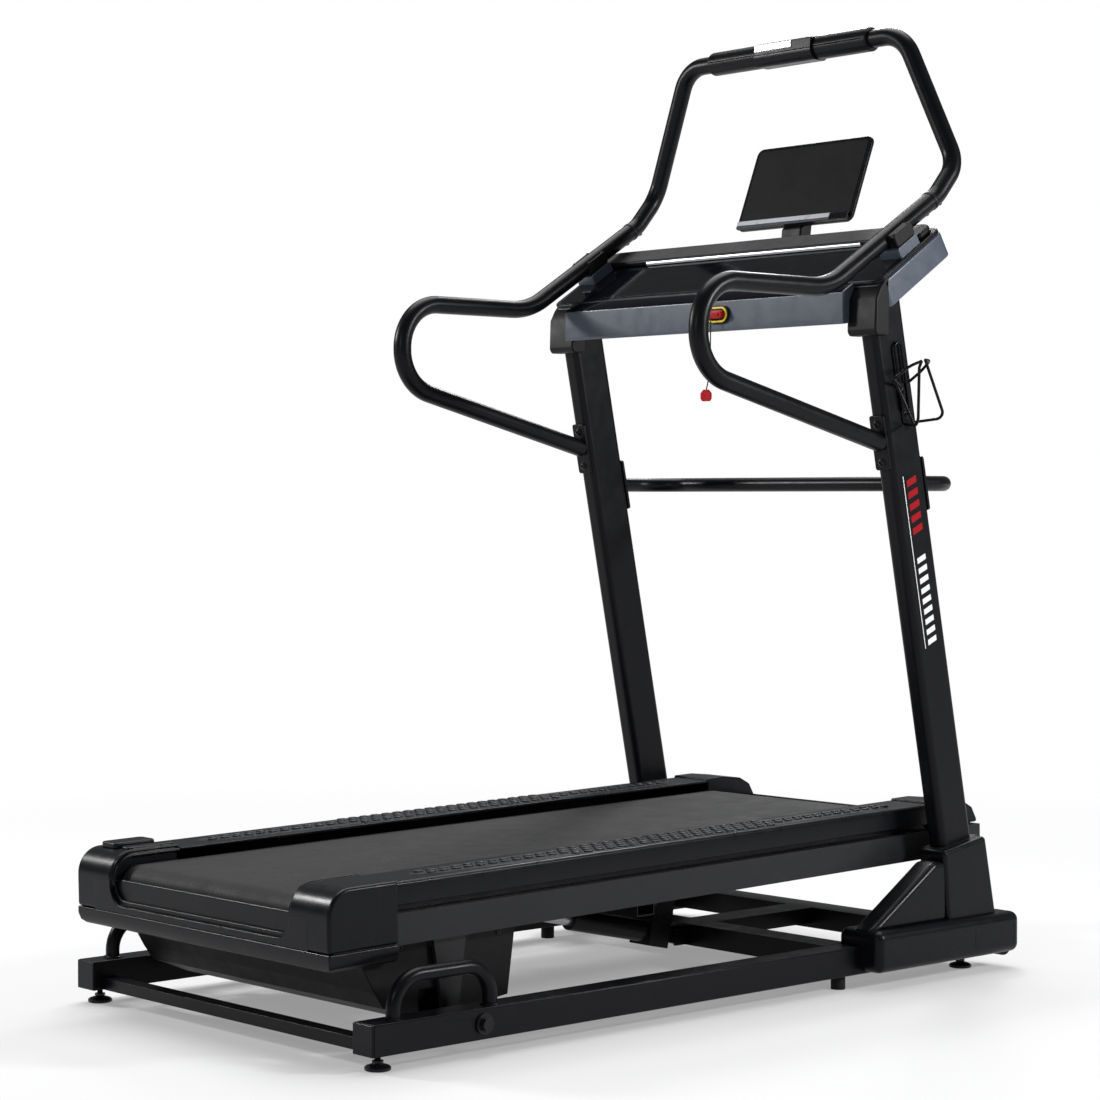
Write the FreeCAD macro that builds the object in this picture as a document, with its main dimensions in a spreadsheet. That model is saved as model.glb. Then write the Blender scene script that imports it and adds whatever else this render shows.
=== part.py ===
import FreeCAD, Part
import math
import os
import re
import Sketcher

# An incline walking treadmill, in millimetres.
# +X is the user's right, +Y runs from the step-on end to the console, +Z is up.
# The origin is on the floor at the middle of the footprint; the frame is symmetric about x = 0.

# Driving dimensions. Everything below is worked out from these.
DIMENSIONS = {
    # base frame
    "rail_outer_x": 412, "rail_size": 50, "rail_wall": 2.5, "rail_bottom_z": 25,
    "base_rear_y": -732, "base_length": 1490,
    "rear_tube_y": -714, "rear_tube_depth": 30, "rear_tube_rise": 20,
    "mid_tube_y": 331, "front_tube_y": 658, "cross_tube_depth": 60, "cross_tube_rise": 40,
    "spine_width": 68, "spine_rise": 30, "cap_thickness": 4,
    "foot_x": 387, "foot_rear_y": -706, "foot_front_y": 680, "foot_disc_radius": 21,
    "foot_disc_rise": 8, "foot_stem_radius": 5, "foot_stem_top_z": 60, "foot_nut_radius": 9,
    "mid_foot_y": 341, "mid_foot_radius": 13,
    "hoop_x": 390, "hoop_rear_y": -678, "hoop_front_y": -482, "hoop_top_z": 139,
    "hoop_tube_radius": 12, "hoop_bend": 52,
    # uprights and boots
    "upright_inner_x": 376, "upright_width": 39, "upright_depth": 84, "upright_wall": 2.5,
    "upright_corner": 12, "upright_foot_y": 630.3, "upright_length": 1176, "upright_lean": 11.61,
    "boot_inner_x": 356, "boot_outer_x": 457, "boot_rear_y": 373, "boot_front_y": 771,
    "boot_bottom_z": 27, "boot_top_z": 104, "boot_wall": 4, "wedge_rear_y": 398, "wedge_top_y": 528,
    "wedge_top_z": 212, "wedge_inner_x": 384, "wedge_outer_x": 436,
    "collar_inner_x": 373.5, "collar_outer_x": 432, "collar_top_z": 240, "collar_margin": 15,
    "wheel_y": 744, "wheel_z": 44, "wheel_radius": 22, "wheel_width": 22, "wheel_x": 430,
    "wheel_axle_radius": 5,
    # handrails
    "bar_x": 396, "bar_radius": 17, "bar_wall": 2, "rail_plate_z": 975,
    "loop_rear_y": -22, "loop_rear_z": 1091, "loop_bend": 85, "grip_z": 1246,
    "grip_end_y": 298, "grip_bend": 150, "joint_y": 581, "joint_z": 1421, "joint_ring_width": 8,
    "joint_spigot": 16, "joint_bend": 80,
    "knee_y": 650, "knee_z": 1492, "knee_bend": 70, "arch_x": 284, "arch_y": 631,
    "arch_z": 1743, "arch_bend": 68, "plate_thickness": 6, "plate_height": 100, "plate_width": 34,
    "cross_bar_radius": 14, "cross_bar_z": 902, "cross_bar_y": 668, "cross_bar_bend": 80,
    "bolt_head_radius": 7, "bolt_head_rise": 5, "bolt_pitch": 70,
    # control grip on the arch
    "pod_half_length": 206, "pod_radius": 23, "pod_core_half_length": 62, "pod_core_depth": 66,
    "pod_core_rise": 24,
    # console
    "console_half_width": 433, "console_slope": 32.6, "console_front_y": 371,
    "console_front_z": 1244, "console_length": 230, "console_rise": 56, "console_wall": 3,
    "front_lip_half_width": 369, "fascia_half_width": 429, "fascia_thickness": 5,
    "band_length": 56, "band_rise": 12, "cap_inner_x": 372, "cap_outer_x": 430,
    "cap_rear_y": 380, "cap_depth": 50, "cap_bottom_z": 1166, "cap_top_z": 1242,
    "clamp_start": 110, "clamp_length": 60, "clamp_inner_x": 379, "clamp_outer_x": 427,
    "clamp_rise": 46, "board_thickness": 2,
    "tablet_half_width": 152, "tablet_height": 180, "tablet_thickness": 8, "tablet_tilt": 21.6,
    "tablet_bottom_y": 633, "tablet_bottom_z": 1406, "tablet_ledge": 14, "neck_half_width": 28,
    "key_x": 58, "key_z": 1218, "key_socket_half": 17, "key_socket_radius": 13,
    "lanyard_radius": 1.2,
    # bottle cage on the right upright
    "cage_wire_radius": 2.5, "cage_z": 996, "cage_height": 150, "cage_depth": 62,
    "cage_half_width": 44, "cage_plate_thickness": 3,
    # deck: v runs forward from the incline pivot, w rises square to the walking surface
    "pivot_y": -513, "pivot_z": 50, "pivot_radius": 8, "pivot_clearance": 0.06,
    "deck_tilt": 1.163, "deck_rail_outer_x": 349, "deck_rail_width": 25, "deck_rail_low": 131,
    "deck_rail_rise": 50, "deck_rear_v": -246, "deck_front_v": 1300,
    "axle_plate_thickness": 8, "under_member_low": 111,
    "hanger_outer_x": 318, "hanger_top": 152,
    "bracket_thickness": 8, "bracket_half_length": 34,
    "foot_rail_outer_x": 340, "foot_rail_inner_x": 243, "foot_rail_top": 229,
    "foot_rail_skirt": 37, "foot_rail_thickness": 5, "foot_rail_rear_v": -118,
    "foot_rail_front_v": 1150,
    "belt_half_width": 240, "belt_thickness": 2, "belt_gap": 0.3, "belt_top": 209.5, "roller_radius": 30,
    "rear_roller_v": -205, "front_roller_v": 1165, "roller_half_length": 246,
    "roller_axle_radius": 8.5, "roller_axle_half": 322, "roller_pulley_radius": 36,
    "roller_pulley_x": -293, "pulley_width": 16, "board_half_width": 247,
    "board_rear_v": -168, "board_front_v": 1110, "board_depth": 18, "cushion_radius": 18,
    "cushion_rise": 12, "member_depth": 40, "member_rise": 20,
    "cover_outer_x": 353, "cover_rear_v": -257, "cover_front_v": -119, "cover_inner_x": 250,
    "cover_top": 233, "cover_split": 134, "cover_low": 103, "cover_corner": 44,
    "cover_wall": 3, "beam_top": 188, "beam_depth": 18, "beam_step": 150,
    "rear_cap_rise": 9, "front_cap_rise": 7,
    "pan_half_width": 322, "pan_low": -1, "pan_wall": 3,
    "motor_v": -40, "motor_w": 62, "motor_radius": 46, "motor_half_length": 95, "motor_x": -143,
    "motor_pulley_radius": 15, "motor_shaft_radius": 8, "flywheel_radius": 44,
    # incline actuator
    "lift_base_y": 308, "lift_base_z": 52, "lift_deck_y": -92, "lift_deck_z": 140,
    "lift_pin_radius": 6, "lift_eye_clearance": 3.2, "lift_tube_radius": 19, "lift_rod_radius": 11,
    "lift_lug_gap": 17, "lift_lug_thickness": 6, "lift_motor_radius": 30,
    # mains inlet
    "inlet_x": -230, "inlet_width": 76, "inlet_low": 44, "inlet_rise": 34,
}

doc = FreeCAD.newDocument("treadmill")
sheet = doc.addObject("Spreadsheet::Sheet", "Dims")
for row, (alias, value) in enumerate(DIMENSIONS.items(), start=1):
    sheet.set("A%d" % row, alias.replace("_", " "))
    sheet.set("B%d" % row, str(value))
    sheet.setAlias("B%d" % row, alias)
doc.recompute()

Vector = FreeCAD.Vector
PLANES = {"x": "YZ_Plane", "y": "XZ_Plane", "z": "XY_Plane"}
SUBPARTS = []


def size(name):
    """The number that the sheet holds under this alias."""
    return float(sheet.get(name))


def expression(text):
    """A formula in alias words, as the expression engine reads it."""
    return re.sub(r"[a-z_]{3,}", lambda word: "Dims." + word.group(0)
                  if word.group(0) in DIMENSIONS else word.group(0), str(text))


class Piece:
    """One sub-part as a PartDesign body: pads and pockets of sketches, then rounded edges."""

    def __init__(self, label, on_deck=False, place=None):
        self.body = doc.addObject("PartDesign::Body", label)
        self.body.Label = label
        self.body.AllowCompound = True
        if on_deck:
            place = ("0", "pivot_y", "pivot_z", "deck_tilt")
        if place:
            for axis, text in zip("xyz", place):
                self.body.setExpression("Placement.Base." + axis, expression(text))
            self.body.Placement = FreeCAD.Placement(Vector(), FreeCAD.Rotation(Vector(1, 0, 0), 1))
            self.body.setExpression("Placement.Rotation.Angle", expression(place[3]))
        SUBPARTS.append(self.body)

    def sketch(self, axis, start):
        plane = [f for f in self.body.Origin.OriginFeatures if f.Role == PLANES[axis]][0]
        sketch = self.body.newObject("Sketcher::SketchObject", self.body.Label + "_sketch")
        sketch.AttachmentSupport = [(plane, "")]
        sketch.MapMode = "FlatFace"
        sketch.setExpression("AttachmentOffset.Base.z", expression(start))
        return sketch

    def outline(self, sketch, points):
        """A closed outline, each corner held by two sizes from the sheet."""
        count = len(points)
        ring = [Vector(100 * math.cos(2 * math.pi * i / count),
                       100 * math.sin(2 * math.pi * i / count), 0) for i in range(count)]
        first = sketch.GeometryCount
        for i in range(count):
            sketch.addGeometry(Part.LineSegment(ring[i], ring[(i + 1) % count]), False)
        for i in range(count):
            sketch.addConstraint(Sketcher.Constraint("Coincident", first + i, 2,
                                                     first + (i + 1) % count, 1))
        for i, corner in enumerate(points):
            for kind, text in zip(("DistanceX", "DistanceY"), corner):
                index = sketch.addConstraint(Sketcher.Constraint(kind, -1, 1, first + i, 1, 1.0))
                sketch.setExpression("Constraints[%d]" % index, expression(text))

    def circle(self, sketch, centre, radius):
        index = sketch.addGeometry(Part.Circle(Vector(1, 1, 0), Vector(0, 0, 1), 5), False)
        for kind, text in zip(("DistanceX", "DistanceY"), centre):
            held = sketch.addConstraint(Sketcher.Constraint(kind, -1, 1, index, 3, 1.0))
            sketch.setExpression("Constraints[%d]" % held, expression(text))
        held = sketch.addConstraint(Sketcher.Constraint("Radius", index, 5.0))
        sketch.setExpression("Constraints[%d]" % held, expression(radius))

    def feature(self, kind, axis, shapes, start, end):
        # The XZ plane faces backwards, so a stretch along y is laid off from its far end.
        sketch = self.sketch(axis, "-(%s)" % end if axis == "y" else start)
        for shape in shapes:
            if len(shape) == 2:
                self.circle(sketch, *shape)
            else:
                self.outline(sketch, shape)
        feature = self.body.newObject("PartDesign::" + kind, self.body.Label + "_" + kind.lower())
        feature.Profile = sketch
        feature.setExpression("Length", expression("(%s) - (%s)" % (end, start)))
        if kind == "Pocket":
            feature.Reversed = True
        before = self.body.Shape.Volume if kind == "Pocket" else 0
        doc.recompute()
        if "Invalid" in feature.State or "Error" in feature.State:
            raise RuntimeError("%s of %s failed: %s" % (kind, self.body.Label, shapes))
        if kind == "Pocket" and not self.body.Shape.Volume < before - 1e-3:
            raise RuntimeError("a pocket of %s cuts nothing" % self.body.Label)
        return self

    def pad(self, axis, start, end, *shapes):
        return self.feature("Pad", axis, shapes, start, end)

    def cut(self, axis, start, end, *shapes):
        return self.feature("Pocket", axis, shapes, start, end)

    def fillet(self, radius, chooser, kind="Fillet"):
        tip = self.body.Tip
        names = ["Edge%d" % i for i, edge in enumerate(tip.Shape.Edges, start=1) if chooser(edge)]
        rounding = self.body.newObject("PartDesign::" + kind, self.body.Label + "_rounding")
        rounding.Base = (tip, names)
        bound = "Radius" if kind == "Fillet" else "Size"
        rounding.setExpression(bound, expression(radius))
        doc.recompute()
        if "Invalid" in rounding.State or "Error" in rounding.State or not names:
            raise RuntimeError("rounding of %s failed on %d edges" % (self.body.Label, len(names)))
        return self


def box(y_low, z_low, y_high, z_high):
    """The corners of a rectangle in a sketch."""
    return [(y_low, z_low), (y_high, z_low), (y_high, z_high), (y_low, z_high)]


def along(axis, test=lambda middle: True):
    """Chooses straight edges that run along one axis of the body and whose middle passes."""
    def chooser(edge):
        if edge.Curve.TypeId != "Part::GeomLine":
            return False
        run = edge.Vertexes[-1].Point - edge.Vertexes[0].Point
        return abs(abs(getattr(run, axis)) - run.Length) < 1e-6 and test(edge.CenterOfMass)
    return chooser


def feature_shape(label, shape):
    """A sub-part whose shape neither a body nor a primitive makes, such as a bent tube."""
    item = doc.addObject("Part::Feature", label)
    item.Label = label
    item.Shape = shape
    SUBPARTS.append(item)
    return item


def rounded_path(corners, bends):
    """Straight runs joined by tangent arcs: one bend radius for each inner corner."""
    edges, start = [], corners[0]
    for before, corner, after, bend in zip(corners, corners[1:], corners[2:], bends):
        back = (before - corner).normalize()
        ahead = (after - corner).normalize()
        half = back.getAngle(ahead) / 2
        reach = bend / math.tan(half)
        middle = (back + ahead).normalize() * (bend / math.sin(half) - bend)
        enter, leave = corner + back * reach, corner + ahead * reach
        edges += [Part.LineSegment(start, enter).toShape(),
                  Part.Arc(enter, corner + middle, leave).toShape()]
        start = leave
    edges.append(Part.LineSegment(start, corners[-1]).toShape())
    return Part.Wire(edges)


def tube(corners, bends, radius, wall=0):
    """A round tube, or a bar where wall is 0, along a rounded path."""
    path = rounded_path(corners, bends)
    tangent = (corners[1] - corners[0]).normalize()

    def sweep(section_radius):
        ring = Part.Wire([Part.Circle(corners[0], tangent, section_radius).toShape()])
        return path.makePipeShell([ring], True, False)
    solid = sweep(radius)
    if wall:
        solid = solid.cut(sweep(radius - wall))
    return solid


def mirrored(shape):
    return shape.mirror(Vector(0, 0, 0), Vector(1, 0, 0))


def span(side, low, high):
    """Start and end along x of a stretch on the right, or the same one mirrored to the left."""
    return (low, high) if side == "right" else ("-(%s)" % high, "-(%s)" % low)


SIDES = ("left", "right")
SIGN = {"left": "-1 * ", "right": ""}
rail_inner = "rail_outer_x - rail_size"
rail_top = "rail_bottom_z + rail_size"


# ---- base frame -------------------------------------------------------------------------------
def base_frame():
    for side in SIDES:
        low, high = span(side, rail_inner, "rail_outer_x")
        rail_end = "base_rear_y + base_length"
        rail = Piece("base_rail_" + side)
        rail.pad("x", low, high, box("base_rear_y", "rail_bottom_z", rail_end, rail_top))
        rail.fillet("rail_wall", along("y"))
        rail.cut("x", low + " + rail_wall", high + " - rail_wall",
                 box("base_rear_y - 1", "rail_bottom_z + rail_wall",
                     rail_end + " + 1", rail_top + " - rail_wall"))
        rail.cut("x", low + " - 1", high + " + 1",
                 (("pivot_y", "pivot_z"), "pivot_radius + 0.3"))
        rail.cut("z", "rail_bottom_z - 1", "rail_bottom_z + rail_wall + 1",
                 ((SIGN[side] + "foot_x", "foot_rear_y"), "foot_stem_radius + 0.5"),
                 ((SIGN[side] + "foot_x", "foot_front_y"), "foot_stem_radius + 0.5"))

    rear = Piece("rear_cross_tube")
    cross_tube(rear, "rear_tube_y", "rear_tube_depth", "rail_bottom_z", "rear_tube_rise")
    front = Piece("front_subframe")
    for start in ("mid_tube_y", "front_tube_y"):
        cross_tube(front, start, "cross_tube_depth", rail_top + " - cross_tube_rise",
                   "cross_tube_rise")
    front.pad("x", "-spine_width / 2", "spine_width / 2",
              box("mid_tube_y + cross_tube_depth", rail_top + " - spine_rise", "front_tube_y",
                  rail_top))
    front.cut("x", "-spine_width / 2 + rail_wall", "spine_width / 2 - rail_wall",
              box("mid_tube_y + cross_tube_depth - 1", rail_top + " - spine_rise + rail_wall",
                  "front_tube_y + 1", rail_top + " - rail_wall"))

    lugs(front, "lift_base_y", "lift_base_z", "mid_tube_y", "lift_base_z - 14",
         "lift_base_z + 14")

    caps = Piece("rail_end_caps")
    for side in SIDES:
        low, high = span(side, rail_inner, "rail_outer_x")
        caps.pad("x", low, high, box("base_rear_y - cap_thickness", "rail_bottom_z",
                                     "base_rear_y", rail_top))
    feet = Piece("mid_feet")
    feet.pad("z", "0", "rail_bottom_z", (("foot_x", "mid_foot_y"), "mid_foot_radius"),
             (("-1 * foot_x", "mid_foot_y"), "mid_foot_radius"))

    for side in SIDES:
        for end in ("rear", "front"):
            centre = (SIGN[side] + "foot_x", "foot_%s_y" % end)
            foot = Piece("levelling_foot_%s_%s" % (end, side))
            foot.pad("z", "0", "foot_disc_rise", (centre, "foot_disc_radius"))
            foot.pad("z", "foot_disc_rise", "2 * foot_disc_rise", (centre, "foot_nut_radius"))
            foot.pad("z", "2 * foot_disc_rise", "foot_stem_top_z", (centre, "foot_stem_radius"))

    top = size("rail_bottom_z") + size("rail_size")
    hoop_x, crown = size("hoop_x"), size("hoop_top_z")
    rear_y, front_y = size("hoop_rear_y"), size("hoop_front_y")
    hoop = tube([Vector(hoop_x, rear_y, top), Vector(hoop_x, rear_y, crown),
                 Vector(hoop_x, front_y, crown), Vector(hoop_x, front_y, top)],
                [size("hoop_bend")] * 2, size("hoop_tube_radius"))
    feature_shape("transport_hoops", Part.makeCompound([hoop, mirrored(hoop)]))


def cross_tube(piece, y_low, depth, z_low, rise):
    """A hollow rectangular tube from one base rail's inner face to the other's."""
    low, high = "-(%s)" % rail_inner, rail_inner
    piece.pad("x", low, high, box(y_low, z_low, "%s + %s" % (y_low, depth),
                                  "%s + %s" % (z_low, rise)))
    piece.cut("x", low, high,
              box("%s + rail_wall" % y_low, "%s + rail_wall" % z_low,
                  "%s + %s - rail_wall" % (y_low, depth), "%s + %s - rail_wall" % (z_low, rise)))


# ---- uprights and their boots -----------------------------------------------------------------
def lean_y(height, offset="0"):
    """Where the upright's rear face is at a height, plus an offset."""
    return ("upright_foot_y - (%s - rail_bottom_z - rail_size) * tan(upright_lean * 1deg) + %s"
            % (height, offset))


upright_run = "upright_depth / cos(upright_lean * 1deg)"


def leaning_slot(z_low, z_high, gap):
    """Outline of the upright's side view between two heights, wider by a gap all round."""
    return [(lean_y(z_low, "-(%s)" % gap), z_low),
            (lean_y(z_low, "%s + %s" % (upright_run, gap)), z_low),
            (lean_y(z_high, "%s + %s" % (upright_run, gap)), z_high),
            (lean_y(z_high, "-(%s)" % gap), z_high)]


def uprights():
    for side in SIDES:
        low, high = span(side, "upright_inner_x", "upright_inner_x + upright_width")
        upright = Piece("upright_" + side, place=("0", "upright_foot_y", rail_top,
                                                  "upright_lean"))
        upright.pad("z", "0", "upright_length", box(low, "0", high, "upright_depth"))
        upright.fillet("upright_corner", along("z"))
        chamfer = "upright_corner * 0.75"
        inner_low, inner_high = low + " + upright_wall", high + " - upright_wall"
        deep = "upright_depth - upright_wall"
        upright.cut("z", "-1", "upright_length + 1", [
            (inner_low + " + " + chamfer, "upright_wall"),
            (inner_high + " - " + chamfer, "upright_wall"),
            (inner_high, "upright_wall + " + chamfer), (inner_high, deep + " - " + chamfer),
            (inner_high + " - " + chamfer, deep), (inner_low + " + " + chamfer, deep),
            (inner_low, deep + " - " + chamfer), (inner_low, "upright_wall + " + chamfer)])


def boots():
    wall, gap = "boot_wall", "0.4"
    for side in SIDES:
        def reach(low, high):
            return span(side, low, high)
        boot = Piece("boot_" + side)
        boot.pad("x", *reach("boot_inner_x", "boot_outer_x"),
                 box("boot_rear_y", "boot_bottom_z", "boot_front_y", "boot_top_z"))
        boot.fillet("boot_wall * 4", along("z", lambda middle: abs(middle.x) > size("foot_x")))
        boot.fillet("boot_wall * 1.5", lambda edge: edge.BoundBox.ZMin > size("boot_top_z") - 0.1)
        boot.pad("x", *reach("wedge_inner_x", "wedge_outer_x"),
                 [("wedge_rear_y", "boot_top_z"), ("boot_front_y - 110", "boot_top_z"),
                  ("boot_front_y - 110", "wedge_top_z"), ("wedge_top_y", "wedge_top_z")])
        boot.pad("x", *reach("collar_inner_x", "collar_outer_x"), collar_outline("collar_margin"))
        boot.fillet("boot_wall * 1.25", lambda edge: abs(edge.CenterOfMass.x) >
                    size("wedge_outer_x") - 0.1 and edge.BoundBox.ZLength > 60 and
                    edge.CenterOfMass.y < size("wedge_top_y"))
        # open underneath, with a way in for the rail and the upright
        boot.cut("x", *reach("boot_inner_x + " + wall, "boot_outer_x - " + wall),
                 box("boot_rear_y + " + wall, "boot_bottom_z - 1",
                     "boot_front_y - " + wall, "boot_top_z - " + wall))
        boot.cut("x", *reach(rail_inner + " - " + gap, "rail_outer_x + " + gap),
                 box("boot_rear_y - 1", "boot_bottom_z - 1", "boot_front_y - 8",
                     rail_top + " + " + gap))
        for tube_y in ("mid_tube_y", "front_tube_y"):
            boot.cut("x", *reach("boot_inner_x - 1", rail_inner), box(
                tube_y + " - " + gap, "boot_bottom_z - 1",
                tube_y + " + cross_tube_depth + " + gap, rail_top + " + " + gap))
        boot.cut("x", *reach("upright_inner_x - " + gap,
                             "upright_inner_x + upright_width + " + gap),
                 leaning_slot(rail_top, "collar_top_z + 40", gap))
        boot.cut("x", *reach("wedge_inner_x + " + wall, "wedge_outer_x - " + wall),
                 [("wedge_rear_y + 3 * " + wall, "boot_top_z - 1.5 * " + wall),
                  ("boot_front_y - 114", "boot_top_z - 1.5 * " + wall),
                  ("boot_front_y - 114", "wedge_top_z - " + wall),
                  ("wedge_top_y + 1.5 * " + wall, "wedge_top_z - " + wall)])


def collar_outline(margin):
    """The collar leans with the upright, and its top drops towards the user."""
    rear_top, front_top = "collar_top_z - 10", "collar_top_z + 10"
    return [(lean_y("boot_top_z", "-(%s)" % margin), "boot_top_z"),
            (lean_y("boot_top_z", "%s + %s" % (upright_run, margin)), "boot_top_z"),
            (lean_y(front_top, "%s + %s" % (upright_run, margin)), front_top),
            (lean_y(rear_top, "-(%s)" % margin), rear_top)]


def transport_wheels():
    for side in SIDES:
        low, high = span(side, "wheel_x - wheel_width / 2", "wheel_x + wheel_width / 2")
        centre = ("wheel_y", "wheel_z")
        wheel = Piece("transport_wheel_" + side)
        wheel.pad("x", low, high, (centre, "wheel_radius"))
        wheel.cut("x", low + " - 1", high + " + 1", (centre, "wheel_axle_radius + 0.08"))
        wheel.fillet("2", lambda edge: edge.Curve.TypeId == "Part::GeomCircle" and
                     edge.Curve.Radius > size("wheel_radius") - 0.1)


def axle_bolts():
    """The shoulder bolts of the incline pivot and of the transport wheels."""
    bolts = Piece("axle_bolts")
    for side in SIDES:
        pivot = ("pivot_y", "pivot_z")
        shank_end = "deck_rail_outer_x - deck_rail_width + 4"
        bolts.pad("x", *span(side, shank_end, "rail_outer_x"), (pivot, "pivot_radius"))
        bolts.pad("x", *span(side, "rail_outer_x", "rail_outer_x + 4"),
                  (pivot, "pivot_radius * 2.1"))
        bolts.pad("x", *span(side, "rail_outer_x + 4", "rail_outer_x + 12"),
                  hexagon("pivot_y", "pivot_z", "pivot_radius * 1.4"))
        bolts.pad("x", *span(side, "rail_outer_x", "wheel_x + wheel_width / 2 + 0.4"),
                  (("wheel_y", "wheel_z"), "wheel_axle_radius"))


def hexagon(y, z, radius):
    return [("%s + (%s) * %s" % (y, radius, round(math.cos(math.pi * i / 3), 5)),
             "%s + (%s) * %s" % (z, radius, round(math.sin(math.pi * i / 3), 5)))
            for i in range(6)]


# ---- handrails, arch and cross bar ------------------------------------------------------------
def point(x, y, z):
    return Vector(size(x) if isinstance(x, str) else x, size(y), size(z))


def plate_box(x_middle, y_low, z_middle):
    """The bolted plate at the end of a bar, square to Y, centred on x and z."""
    width, height = size("plate_width"), size("plate_height")
    return Part.makeBox(width, size("plate_thickness"), height,
                        Vector(x_middle - width / 2, y_low, z_middle - height / 2))


def leaned(shape, about):
    """Turns a shape about X through a point, to lie on the leaning upright."""
    shape.rotate(about, Vector(1, 0, 0), size("upright_lean"))
    return shape


def upright_face(height, front=False):
    """Where the upright's rear or front face is at a height."""
    lean = math.radians(size("upright_lean"))
    base = size("rail_bottom_z") + size("rail_size")
    face = size("upright_foot_y") - (height - base) * math.tan(lean)
    return face + size("upright_depth") / math.cos(lean) if front else face


def handrails():
    x = size("bar_x")
    plate_z = size("rail_plate_z")
    face = upright_face(plate_z)
    bend = size("loop_bend")
    foot = Vector(x, face - size("plate_thickness"), plate_z)
    lower = point("bar_x", "loop_rear_y", "loop_rear_z")
    upper = point("bar_x", "loop_rear_y", "grip_z")
    grip_end = point("bar_x", "grip_end_y", "grip_z")
    joint = point("bar_x", "joint_y", "joint_z")
    start = foot + (foot - lower).normalize() * size("bar_radius")
    rail = tube([start, lower, upper, grip_end, joint],
                [bend, bend, size("grip_bend")], size("bar_radius"), size("bar_wall"))
    # the tube's end is cut to the upright's leaning face
    inside = size("plate_height")
    rail = rail.cut(leaned(Part.makeBox(inside, inside, inside * 2,
                                        Vector(x - inside / 2, face, plate_z - inside)),
                           Vector(x, face, plate_z)))
    ahead = (joint - grip_end).normalize()
    ring_width, radius = size("joint_ring_width"), size("bar_radius")
    ring = Part.makeCylinder(radius + 1, ring_width, joint - ahead * ring_width, ahead)
    rail = rail.fuse(ring.cut(Part.makeCylinder(radius - 1, ring_width,
                                                joint - ahead * ring_width, ahead)))
    plate = leaned(plate_box(size("upright_inner_x") + size("upright_width") / 2,
                             face - size("plate_thickness"), plate_z), Vector(x, face, plate_z))
    rail = rail.fuse(plate).removeSplitter()
    feature_shape("handrail_right", rail)
    feature_shape("handrail_left", mirrored(rail))


def arch():
    """The bar over the console, from one handrail joint to the other."""
    joint = point("bar_x", "joint_y", "joint_z")
    knee = point("bar_x", "knee_y", "knee_z")
    corner = point("arch_x", "arch_y", "arch_z")
    ahead = (joint - point("bar_x", "grip_end_y", "grip_z")).normalize()
    half = [joint + ahead * 0.4, joint + ahead * size("joint_spigot"), knee, corner]
    other = [Vector(-p.x, p.y, p.z) for p in reversed(half)]
    one_side = [size("joint_bend"), size("knee_bend"), size("arch_bend")]
    bends = one_side + one_side[::-1]
    feature_shape("upper_handlebar", tube(half + other, bends, size("bar_radius"),
                                          size("bar_wall")))


def cross_bar():
    x, z = size("bar_x"), size("cross_bar_z")
    face = upright_face(z, front=True)
    thick = size("plate_thickness")
    ends = [Vector(x, face + thick * 0.5, z), Vector(x, size("cross_bar_y"), z)]
    bar = tube(ends + [Vector(-p.x, p.y, p.z) for p in reversed(ends)],
               [size("cross_bar_bend")] * 2, size("cross_bar_radius"), size("bar_wall"))
    for sign in (1, -1):
        middle = sign * (size("upright_inner_x") + size("upright_width") / 2)
        plate = leaned(plate_box(middle, face, z), Vector(sign * x, face, z))
        bar = bar.fuse(plate)
    feature_shape("cross_bar", bar.removeSplitter())


def dome_bolts(solids):
    """Two dome-headed bolts at each bar end, beside the solids of the cage's screws."""
    radius, rise = size("bolt_head_radius"), size("bolt_head_rise")
    lean = math.radians(size("upright_lean"))
    outward = {False: Vector(0, -math.cos(lean), -math.sin(lean)),
               True: Vector(0, math.cos(lean), math.sin(lean))}
    up = Vector(0, -math.sin(lean), math.cos(lean))
    for front, height in ((False, size("rail_plate_z")), (True, size("cross_bar_z"))):
        for sign in (1, -1):
            middle = Vector(sign * (size("upright_inner_x") + size("upright_width") / 2),
                            upright_face(height, front), height)
            for step in (-0.5, 0.5):
                seat = middle + up * (step * size("bolt_pitch")) \
                    + outward[front] * size("plate_thickness")
                head = Part.makeCone(radius, radius * 0.6, rise, seat, outward[front])
                solids.append(head)
    feature_shape("dome_bolts", Part.makeCompound(solids))


def control_grip():
    """The sleeve on the top of the arch: two round grips and a flat-topped touch panel."""
    for label, upper in (("grip_lower_shell", False), ("grip_upper_shell", True)):
        half = Piece(label)
        sleeve = ("arch_y", "arch_z")
        half.pad("x", "-pod_half_length", "pod_half_length", (sleeve, "pod_radius"))
        if upper:
            half.pad("x", "-pod_core_half_length", "pod_core_half_length",
                     [("arch_y - pod_core_depth / 2", "arch_z - 1"),
                      ("arch_y + pod_core_depth / 2 - 8", "arch_z - 1"),
                      ("arch_y + pod_core_depth / 2 - 14", "arch_z + pod_core_rise"),
                      ("arch_y - pod_core_depth / 2 + 6", "arch_z + pod_core_rise - 10")])
        else:
            half.pad("x", "-pod_core_half_length", "pod_core_half_length",
                     [("arch_y - pod_core_depth / 2", "arch_z - 1"),
                      ("arch_y - pod_core_depth / 2 + 10", "arch_z - 12"),
                      ("arch_y + pod_core_depth / 2 - 18", "arch_z - 12"),
                      ("arch_y + pod_core_depth / 2 - 8", "arch_z - 1")])
        half.cut("x", "-pod_half_length - 1", "pod_half_length + 1",
                 (sleeve, "bar_radius + 0.05"))
        gone = ("arch_z - 1 - 60", "arch_z - 1") if upper else ("arch_z - 1", "arch_z + 59")
        half.cut("x", "-pod_half_length - 1", "pod_half_length + 1",
                 box("arch_y - 60", gone[0], "arch_y + 60", gone[1]))


# ---- console ----------------------------------------------------------------------------------
CONSOLE = ("0", "console_front_y", "console_front_z", "console_slope")


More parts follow.
